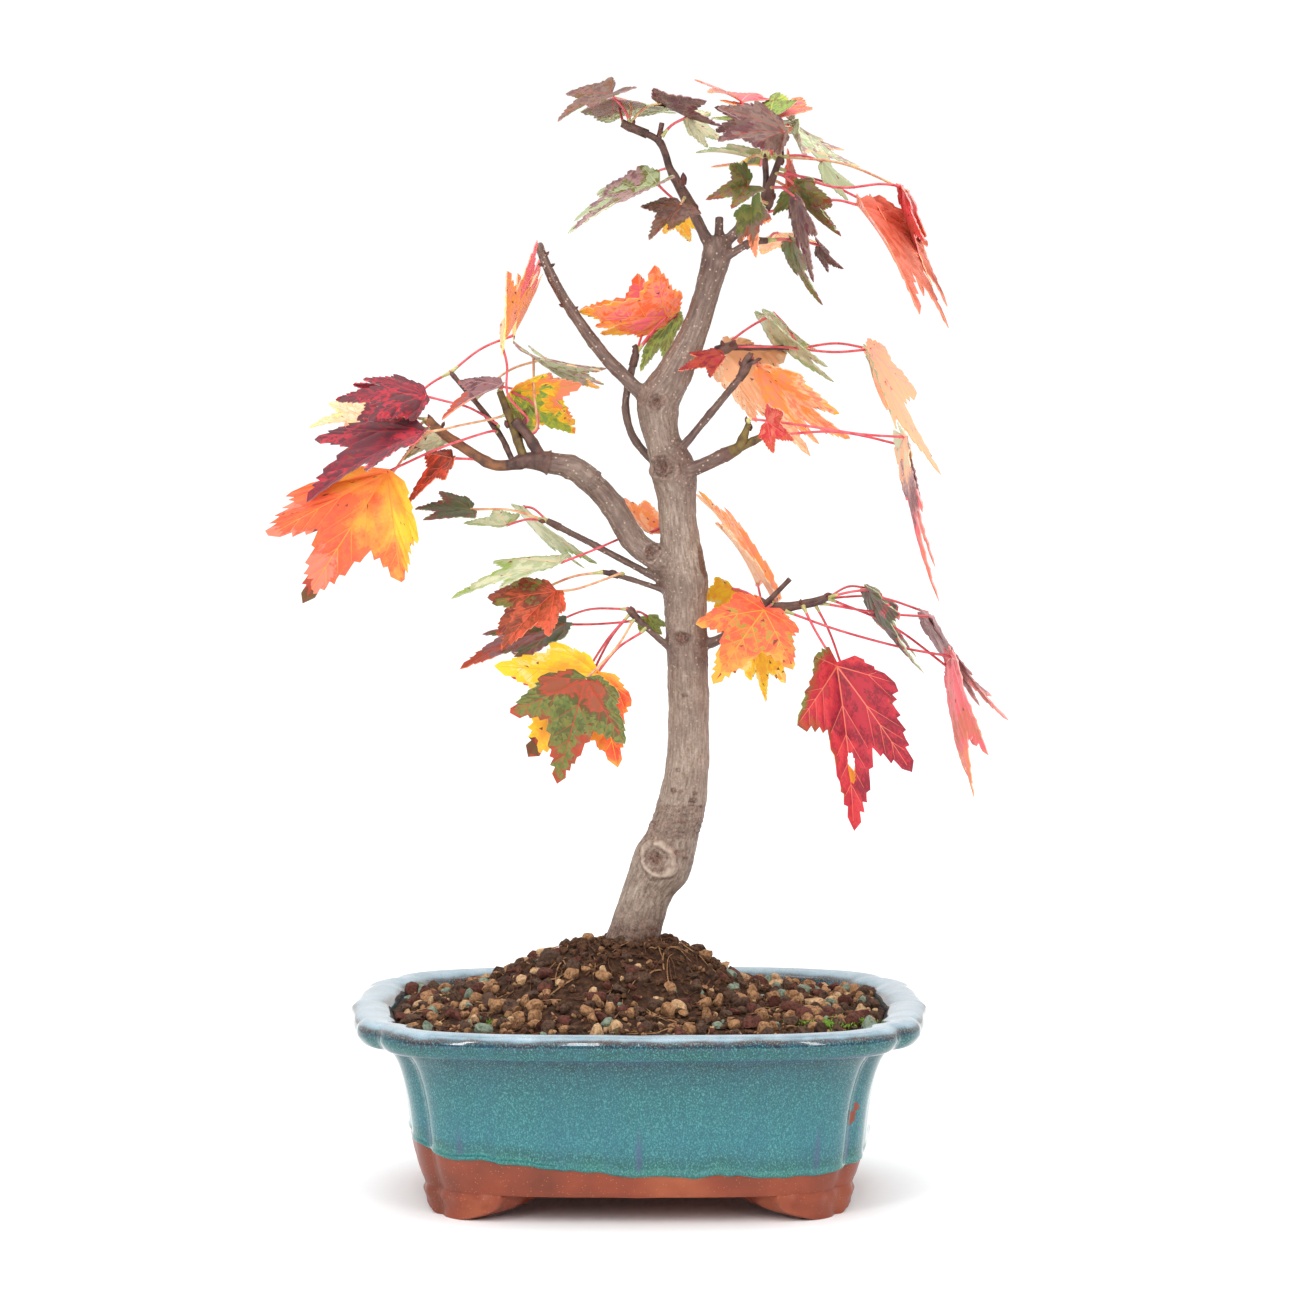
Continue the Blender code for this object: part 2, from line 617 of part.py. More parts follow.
def nearest(points, place):
    return min(points, key=lambda p: (p - place).length)


def backing_leaf(leaf, rng):
    """The leaf that stands behind a given one, a little smaller and turned otherwise."""
    base, tip, turn = leaf
    scale = rng.uniform(*BACKING_SCALE)
    depth = rng.uniform(*BACKING_DEPTH)
    drift = Vector((rng.uniform(-1, 1), 0, rng.uniform(-1, 1))) * BACKING_SPREAD
    middle = (base + tip) / 2 + Vector((0, depth, 0)) + drift
    half = (tip - base) / 2 * scale
    half.y = abs(half.y) + rng.uniform(0, 4)
    return middle - half, middle + half, turn + rng.uniform(-12, 12)


def surface_of(mesh):
    mesh.calc_loop_triangles()
    return BVHTree.FromPolygons([v.co for v in mesh.vertices],
                                [t.vertices for t in mesh.loop_triangles], epsilon=GAP / 2 * MM)


def has_room(mesh, neighbours):
    """Whether a piece stays in the crown's space and touches nothing that stands there."""
    low, high = (millimetres(corner) for corner in CROWN_REACH)
    inside = all(low[k] < v.co[k] < high[k] for v in mesh.vertices for k in range(3))
    skin = surface_of(mesh)
    return inside and not any(skin.overlap(other) for other in neighbours)


def leaf_meshes(leaf, wood, rng):
    """Meshes of one leaf: its blade, its stalk, and a twig where the wood is too far away."""
    base, tip, turn = leaf
    along = leaf_frame(base, tip, turn)[0]
    hub = base + along * LEAF_HUB * (tip - base).length
    root = nearest(wood, base)
    meshes, grown = [blade_mesh(base, tip, turn)], []
    if (base - root).length > LEAF_STALK_REACH:
        end = root.lerp(base, TWIG_SHARE)
        grown = smooth_path((root, end), BOUGH_STEP)
        meshes.append(tube_mesh("twig", grown, taper(grown, *TWIG_RADII), TWIG_SIDES))
        root = end
    path = stalk_path(root, hub, rng)
    meshes.append(tube_mesh("stalk", path, taper(path, PETIOLE_RADIUS, PETIOLE_RADIUS), 4))
    return meshes, grown


def carrier_end(name):
    """The first two points of a stem, in line with its bough and a gap clear of the tip."""
    path = smooth_path(BOUGHS[name][0], BOUGH_STEP)
    way = (path[-1] - path[-2]).normalized()
    return [path[-1] + way * GAP, path[-1] + way * (GAP + STEM_LEAD)]


def make_foliage(name, plan, parts, cutters, neighbours, material, rng):
    """One mass: its stem, twigs and leaves, each piece kept clear of what stands there already."""
    hangs_on_trunk = plan["carrier"] == "trunk"
    root_radius = 1.2 if hangs_on_trunk else BOUGHS[plan["carrier"]][2] * 0.96
    points = [Vector(p) for p in plan["stem"]]
    if not hangs_on_trunk:
        points = carrier_end(plan["carrier"]) + points
    path = smooth_path(points, BOUGH_STEP)
    stem_mesh = tube_mesh(name, path, taper(path, root_radius, min(root_radius, 1.1)), BOUGH_SIDES)
    stem = add_object(name, stem_mesh, parts)
    if hangs_on_trunk:
        seat_on_trunk(stem, cutters)
    wood = path[1:]
    pieces, skipped = [], 0
    for twig in plan["twigs"]:
        shoot = smooth_path(twig, BOUGH_STEP)
        pieces.append(tube_mesh("twig", shoot, taper(shoot, *TWIG_RADII), TWIG_SIDES))
        wood += shoot[1:]
    leaves = [(Vector(base), Vector(tip), turn) for base, tip, turn in plan["leaves"]]
    backing = [backing_leaf(leaf, rng) for leaf in leaves
               if (leaf[1] - leaf[0]).length > BACKED_LEAF_LENGTH]
    for leaf in leaves + backing:
        meshes, grown = leaf_meshes(leaf, wood, rng)
        if all(has_room(mesh, neighbours) for mesh in meshes):
            pieces += meshes
            wood += grown
        else:
            skipped += 1
            print("skipped", name, tuple(round(c) for c in leaf[0]))
    others = [add_object("piece", mesh, cutters) for mesh in pieces]
    boolean(stem, "UNION", others, cutters)
    keep_main_body(stem)
    stem.data.materials.clear()
    stem.data.materials.append(material)
    return stem


def main():
    for obj in list(bpy.data.objects):
        bpy.data.objects.remove(obj)
    scene = bpy.context.scene
    parts = bpy.data.collections.new("potted_red_maple")
    cutters = bpy.data.collections.new("cutters")
    scene.collection.children.link(parts)
    scene.collection.children.link(cutters)
    materials = {name: make_material(name) for name in COLOURS}
    rng = random.Random(SEED)

    make_pot(parts, cutters, materials["glaze"])
    make_soil(parts, cutters, materials["soil"])
    trunk = add_object("trunk", trunk_mesh("trunk"), parts, materials["bark"])
    boughs = make_boughs(parts, cutters, materials["bark"])
    limbs = [surface_of(obj.data) for obj in [trunk, *boughs]]
    masses = []
    for name, plan in FOLIAGE.items():
        mass = make_foliage(name, plan, parts, cutters, limbs + masses, materials["crown"], rng)
        masses.append(surface_of(mass.data))
    for obj in parts.objects:
        obj.data.shade_smooth()
        obj.data.set_sharp_from_angle(angle=math.radians(35))


main()
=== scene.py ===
"""Red maple bonsai in autumn colour, in a glazed pot: bark, leaves, soil, glaze and studio.

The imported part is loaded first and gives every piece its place. Lengths in the tables are
millimetres, and places read off the reference picture are pixels of its 1300 x 1300 frame.
"""

import math
import random

import bmesh
import bpy
import numpy as np
from bpy.props import FloatProperty, FloatVectorProperty, IntProperty, PointerProperty
from bpy.types import Operator, Panel, PropertyGroup
from mathutils import Matrix, Vector, noise
from mathutils.geometry import delaunay_2d_cdt
from mathutils.kdtree import KDTree


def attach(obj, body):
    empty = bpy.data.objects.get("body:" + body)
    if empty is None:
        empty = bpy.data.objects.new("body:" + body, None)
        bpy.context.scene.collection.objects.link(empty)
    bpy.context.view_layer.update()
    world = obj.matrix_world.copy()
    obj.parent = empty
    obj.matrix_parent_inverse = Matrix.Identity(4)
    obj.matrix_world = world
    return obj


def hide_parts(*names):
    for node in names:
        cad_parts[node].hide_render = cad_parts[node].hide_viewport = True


bl_info = {
    "name": "Potted Red Maple",
    "version": (1, 0, 0),
    "blender": (4, 5, 0),
    "location": "View3D > Sidebar > Maple",
    "description": "Dresses a red maple bonsai with bark, autumn leaves, soil and a glazed pot",
    "category": "Add Mesh",
}

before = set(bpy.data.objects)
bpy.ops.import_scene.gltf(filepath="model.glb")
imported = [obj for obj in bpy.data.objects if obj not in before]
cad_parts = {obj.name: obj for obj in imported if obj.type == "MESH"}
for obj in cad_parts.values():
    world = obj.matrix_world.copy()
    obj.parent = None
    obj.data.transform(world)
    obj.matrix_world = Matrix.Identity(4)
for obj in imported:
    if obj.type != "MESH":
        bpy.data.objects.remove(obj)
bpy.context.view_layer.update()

MM = 0.001
SEED = 1307

# Camera, as the picture was taken
CAMERA_PLACE = (4.0, -2300.0, 452.0)
CAMERA_AIM = (4.0, 0.0, 199.0)
CAMERA_ANGLE = 11.6  # degrees across the frame
PICTURE_HALF = 650.0

# Pot
POT_HALF_LENGTH = 105.0
POT_HALF_WIDTH = 82.0
POT_BASE_HEIGHT = 10.0
POT_FLOOR_HEIGHT = 16.0
POT_RIM_HEIGHT = 71.0
# A quarter of the rim as shares of the half length and half width. The rows part at its creases.
RIM_RUNS = (
    ((1.000, 0.000), (0.986, 0.180), (0.976, 0.340), (0.960, 0.450)),
    ((0.960, 0.450), (0.957, 0.540), (0.928, 0.620), (0.884, 0.672)),
    ((0.884, 0.672), (0.862, 0.756), (0.810, 0.826), (0.720, 0.890), (0.520, 0.958),
     (0.300, 0.980), (0.110, 0.984), (0.000, 1.000)),
)
RIM_STEP = 1.5
CORNER_RIDGE_X = 79.0
RIDGE_WIDTH = 2.6
BODY_PROFILE = (
    (0.760, POT_BASE_HEIGHT), (0.768, 12.0), (0.788, 20.0), (0.815, 39.0), (0.852, 53.0), (0.893, 60.6),
)
LIP_PROFILE = (
    (0.893, 60.6), (0.935, 60.9), (0.972, 61.9), (0.995, 64.6), (1.000, 66.6), (0.994, 68.8),
    (0.975, 70.4), (0.945, POT_RIM_HEIGHT), (0.905, 70.5), (0.872, 69.2), (0.856, 67.2), (0.850, 64.0),
)
INSIDE_PROFILE = ((0.850, 64.0), (0.762, 38.0), (0.700, POT_FLOOR_HEIGHT))
# Where the glaze stops: angle round the pot, from the right end over the back, and height
GLAZE_LINE = (
    (-180, 25.0), (-162, 28.5), (-146, 25.0), (-133, 22.2), (-127, 22.7), (-117, 21.2), (-104, 19.6),
    (-95, 18.4), (-88, 17.7), (-76, 17.3), (-70, 18.7), (-63, 17.3), (-56, 16.6), (-36, 17.6),
    (-15, 21.0), (0, 23.0), (20, 22.0), (45, 18.0), (70, 17.4), (90, 18.6), (115, 20.5), (140, 24.0),
    (160, 26.0), (180, 25.0),
)
FOOT_CENTRE = (60.0, 40.0)
FOOT_HALF_SIZE = (22.0, 21.0)
FOOT_LOBES = 4
FOOT_LOBE_DEPTH = 0.035
FOOT_DRAW = (7.0, 4.5)
FOOT_POINTS = 72
FOOT_PROFILE = (
    (1.000, 14.5), (1.005, 12.2), (0.970, 11.4), (0.960, 10.8), (0.995, 9.8), (1.000, 8.2), (0.960, 6.2),
    (0.860, 4.2), (0.700, 2.3), (0.550, 1.0), (0.470, 0.35), (0.400, 0.0),
)
# Shares and heights are brought to like sizes by these, to step evenly along the curves
BODY_UNIT = 60
LIP_UNIT = 90
FOOT_UNIT = 20
FOOT_RIPPLES = 12
FOOT_RIPPLE_DEPTH = 0.05
FOOT_NECK_HEIGHT = 10.8
FOOT_SWELL = (1.3, 7.6, 2.4)  # how far it stands out, its height and its half width
CLAY_ROWS = 14
GLAZE_ROWS = 44
GLAZE_ROWS_CROWDING = 1.25  # rows stand closer near the edge
GLAZED_ROWS_INSIDE = 2
GLAZE_SET_BACK = 0.35
GLAZE_ROLL = (1.0, 1.1, 0.6)  # the roll's height over the edge, its half width and what it adds
GLAZE_THINS_OVER = 26
GLAZE_REACH = 88.0  # the wall's mean distance from the middle, which the glaze's thickness adds to
GLAZE_POOL_HEIGHT = 9.0
THIN_BELOW = 48  # height up to which the glaze draws thin on the creases
THIN_FADE = (20, 3)  # over how much it does so, from above and from the edge
FOOT_OF_WALL = 0.79  # the body's share of the rim where the glaze stops
# A sliver of glaze is missing here, at this share of the pot's depth, leaning to one side
CHIP = (853, 1119)
CHIP_DEPTH = 0.64
CHIP_SLANT = 0.3
CHIP_HALF_WIDTH = 0.95
CHIP_HALF_HEIGHT = 4.0
DRAIN_HOLE_RADIUS = 6.0
DRAIN_HOLE_OFFSET = 36.0
DRAIN_HOLE_SIDES = 32

# Soil
SOIL_EDGE_HEIGHT = 67.6
SOIL_CROWN_HEIGHT = 92.2
SOIL_MOUND_RADIUS = 44.0
SOIL_SHOULDER = 6.5
SOIL_MOUND_LEAN = (0.30, 18)  # how much farther the mound reaches on the left, and over what width
SOIL_MOUND_FALL = 2.2
SOIL_LUMPS = ((0.16, 1.3, 0), (0.45, 0.8, 5))  # how close they stand, how high, and the noise's layer
SOIL_LUMPS_AT_EDGE = 0.6  # the share of its lumps that the soil loses at its edge
SOIL_SINK = 0.6
SOIL_EDGE_SHARE = 0.853  # of the rim, where the soil meets the wall
SOIL_LEVEL_SHARE = 0.85  # of the pot's half sizes, where the soil has come down to its edge
SOIL_BOTTOM_HEIGHT = 45.0
SOIL_BOTTOM_SHARE = 0.78
SOIL_RINGS = 64
SOIL_LUMP = 1.2  # the most that a lump stands over the crown
# Grit lies within these half sizes, and short of a line that cuts the corners
SOIL_LIMITS = (86, 64)
SOIL_CORNER = (88, 67)
SOIL_CORNER_CUT = 1.52
SOIL_FIELD = (90, 70)  # half sizes of the field that places are drawn from
STONE_SHAPES = 26
STONE_CUTS = 9
LARGE_GRAINS = 0.32  # the share of the grit that is large
CRUMB_SIZES = (0.4, 2.0)
CRUMB_CLEARANCE = 9.0  # no crumbs lie nearer to the trunk's middle than this
FIBRE_LENGTHS = (5, 19)
FIBRE_RADII = (0.16, 0.42)
FIBRE_END_RADIUS = 0.1
FIBRE_LIMITS = (84, 62)  # half sizes that fibres stay within
MOSS_LEAF = (1.3, 0.8, 2.6, 0.34, 0.16)  # how far a tip leans, its least and most height, half width and keel
MOSS = ((66, -42, 4.6, 260), (78, -33, 3.4, 150), (-52, -46, 2.0, 30))  # middle, half width, leaves
TRUNK_FOOT = (-3.0, 8.0)
TRUNK_SEAT_RADIUS = 14.0

# Trunk as (height, offset along X, width), as in the part
TRUNK_CUT_HEIGHT = 90.3
TRUNK_STATIONS = (
    (TRUNK_CUT_HEIGHT, -2.7, 19.8), (96.0, -1.2, 18.5), (111.0, 3.6, 18.2), (119.7, 8.0, 21.8),
    (129.0, 11.6, 19.4), (142.5, 15.6, 17.4), (161.6, 17.8, 15.2), (188.3, 17.8, 14.8),
    (216.0, 16.7, 15.4), (223.3, 16.3, 17.2), (236.0, 14.9, 14.6), (251.6, 13.8, 13.6),
    (264.0, 12.4, 16.6), (275.2, 8.6, 12.6), (288.3, 6.9, 15.4), (299.0, 12.7, 13.0),
    (314.3, 19.9, 9.8), (330.0, 24.9, 9.0), (342.0, 28.0, 10.4), (348.5, 28.3, 8.8),
)
TRUNK_LEAN_DEPTH = 8.0
TRUNK_UPRIGHT_HEIGHT = 240.0
TRUNK_SIDES = 48
BOUGH_SIDES = 28
BOUGH_SINK = 2.4  # how far a bough's root is sunk into the wood behind

# Boughs: points from root to tip, the radius at each end, and how young the bark looks (0 to 1)
BOUGHS = {
    "bough_left_inner": (((12, 0, 229), (-1, -2, 238), (-9, -3, 251), (-17.6, -4, 261)), 4.6, 4.3, 0.55),
    "bough_left_outer": (((-18.0, -4, 261.3), (-24, -4, 265.5), (-34, -5, 267.6)), 4.7, 3.8, 0.7),
    "bough_upper_left": (
        ((4, 0, 289), (-9.7, 1, 302.4), (-19, 2, 314), (-30, 4, 331), (-36.4, 5, 345.7)), 2.7, 1.6, 0.85),
    "bough_centre_left": (
        ((10, 5, 262), (-1, 6, 274), (-4.6, 7, 284), (-4.2, 7, 293), (-1.8, 7, 303)), 1.6, 1.3, 0.85),
    "bough_right_upper": (((14, -2, 270.5), (24, -5, 283), (37, -8, 299)), 1.6, 1.3, 1.0),
    "bough_right_middle": (((13, -2, 263), (22, -5, 266), (32, -9, 271)), 2.9, 2.4, 0.8),
    "bough_right_low": (((21, 0, 200), (31, 0, 204), (43, -1, 215)), 2.0, 1.7, 0.95),
    "bough_left_middle": (((11, 1, 222.5), (0, 1, 228.5), (-12, 0, 235), (-30, -2, 244.5)), 1.4, 1.2, 0.9),
    "bough_left_spur": (((12, 0, 219.5), (0, 0, 223.8), (-9, -1, 226.5)), 1.1, 1.0, 0.9),
    "bough_left_low": (((13, 1, 198), (4, 0, 206), (-1.5, -1, 211.5)), 1.3, 1.1, 0.95),
    "bough_crown_left": (((27, 0, 342), (21.5, 0, 353), (17.5, 0, 361)), 2.2, 1.9, 0.95),
    "bough_crown_right": (((29, 0, 344), (37.5, 0, 352.5), (45, 0, 359)), 2.1, 1.8, 0.95),
    "bough_crown_stub": (((28.6, 0, 345), (28.8, 0, 351), (28.9, 0, 355.5)), 1.7, 1.5, 1.0),
    "bough_crown_low": (((27, -1, 337.5), (35, -3, 343.5), (39.5, -4, 346)), 1.6, 1.4, 0.95),
}

# Marks on the bark: picture place, how far in front of the wood's middle, radius and kind
SCARS = (
    (654, 860, 10.6, 7.2, "callus"), (660, 467, 8.2, 5.6, "knot"), (657, 401, 7.6, 4.2, "knot"),
    (651, 552, 4.6, 4.0, "knot"), (682, 639, 7.4, 4.4, "wound"), (631, 849, 8.0, 2.2, "knob"),
    (673, 478, 8.0, 2.4, "knob"), (578, 467, 4.6, 3.0, "knob"), (590, 474, 4.6, 2.2, "knob"),
    (683, 386, 5.5, 2.4, "knob"), (668, 318, 5.5, 1.5, "wound"), (707, 248, 5.4, 3.0, "knob"),
    (721, 262, 5.2, 1.8, "knob"), (664, 776, 8.4, 1.2, "mark"), (671, 791, 8.8, 1.9, "mark"),
    (680, 792, 8.8, 1.2, "mark"), (694, 801, 8.2, 2.3, "mark"), (696, 794, 8.2, 1.5, "mark"),
    (676, 770, 8.6, 1.3, "mark"), (645, 600, 5.0, 1.6, "knob"), (702, 563, 3.0, 3.0, "split"),
    (676, 852, 8.6, 1.5, "mark"), (686, 858, 8.2, 1.7, "mark"), (695, 852, 7.6, 1.3, "mark"),
    (692, 868, 7.6, 1.4, "mark"), (679, 868, 8.6, 1.1, "knob"), (699, 862, 7.0, 1.2, "knob"),
    (684, 696, 8.0, 1.5, "mark"), (641, 388, 6.0, 2.2, "knob"), (686, 455, 7.5, 2.6, "knob"),
    (660, 443, 7.0, 1.6, "knob"), (688, 858, 7.5, 1.6, "knob"), (672, 905, 8.4, 1.4, "mark"),
)
# Scars of the wire that shaped the trunk, as (height, depth)
WIRE_WAVE = (1.6, 0.25)  # how far a mark swings up and down, and how fast
WIRE_HALF_WIDTH = 0.55
WIRE_DEPTH = 0.40
WIRE_SHADE = 0.55
WIRE_MARKS = (
    (143.0, 1.4), (136.5, 1.0), (131.5, 1.1), (124.5, 1.3), (203.5, 0.5), (293.5, 0.9), (300.0, 0.6),
)
TRUNK_AGES = ((90, 230, 290, 325, 342), (0.0, 0.14, 0.45, 0.7, 1.0))  # heights, and how young the bark is
NODES = {  # how far apart the swellings of a shoot stand, and how high
    "bough": (13, 0.10), "stem": (12, 0.16), "shoot": (11, 0.16), "spur": (14, 0.25), "twig": (9, 0.14),
}
BARK_RIDGES = ((2.1, 0.85), (1.2, 1.9))  # how high they are and how close they stand
STAIN_FADE = 9
BLOTCH_FADE = 8
GRAIN_DRAW = 0.16  # how the bark's grain is drawn out along a limb
LIMB_SPACING = 400  # sets the grain of one limb apart from the next one's
RIDGED_RADIUS = 7.0  # wood of this radius and more is ridged in full
WIRED_RADIUS = 5
STAINED_RADIUS = 6
SPLIT_REACH = 4.0
SCAR_REACH = 2.6
AGE_ROUNDS = 220  # how often the bark's age is evened out between limbs
TRUNK_STAIN_HEIGHT = 106.0  # below it the bark is brown from the soil
SPECK = 0.05e-3  # m, edges shorter than this hold no wood
WRINKLED_BAND = (130.5, 143.0)  # heights between which the bark is dark and wrinkled

# Where the crown branches: each mass's bough, its stem's radius, the finish of its wood where that
# isn't brown, the stem's way on from the bough, and its shoots
MASSES = {
    "foliage_left": (
        "bough_left_outer", 2.2, "shoot_tan",
        ((-41, -5, 268), (-52, -5, 266.5), (-69, -6, 277), (-76, -6, 283)),
        (((-41, -5, 268), (-47, -4, 285), (-50, -4, 293)), ((-45, -5, 267), (-52, 2, 280), (-68, 8, 299)))),
    "foliage_left_middle": ("bough_left_middle", 1.2, None, ((-33, -2, 246),), ()),
    "foliage_left_spur": ("bough_left_spur", 0.95, None, ((-13, -2, 227.5),), ()),
    "foliage_left_low": ("bough_left_low", 1.05, None, ((-4, -1, 214),), ()),
    "foliage_centre_left": ("bough_centre_left", 1.2, None, ((-1, 7.2, 306),), ()),
    "foliage_right_upper": ("trunk", 1.5, None, ((14, 4, 301), (24, 6, 305), (32, 8, 308)), ()),
    "foliage_right_centre": ("bough_right_upper", 1.2, None, ((38.5, -8, 301), (40.5, -8, 305)), ()),
    "foliage_right_middle": (
        "bough_right_middle", 1.5, "shoot_olive", ((36, -11, 273.5), (39.4, -13, 282)),
        (((34, -10, 272), (44.5, -12, 277.4)),)),
    "foliage_right_low": (
        "bough_right_low", 1.35, None, ((47, -1, 213.5), (63.5, -1, 216), (68, -1, 218)),
        (((45, -1, 215), (54.5, -2, 225)),)),
    "foliage_crown_left": (
        "bough_crown_left", 1.5, None, ((11, 0, 373), (7, 0, 382.7), (-5.5, -1, 388.4)),
        (((7, 0, 382.7), (8.3, 1, 389)), ((16, 0, 364), (14.8, -2, 369)))),
    "foliage_crown_low": ("bough_crown_low", 1.3, None, ((46, -3, 347),), ()),
    "foliage_crown_right": (
        "bough_crown_right", 1.5, None, ((47, 0, 366), (50.8, -1, 377)),
        (((46, 0, 362), (45.5, 4, 376)),)),
    "foliage_trunk_back": ("trunk", 0.9, None, ((15, 2, 236), (13, 12, 239), (11, 20, 242)), ()),
}
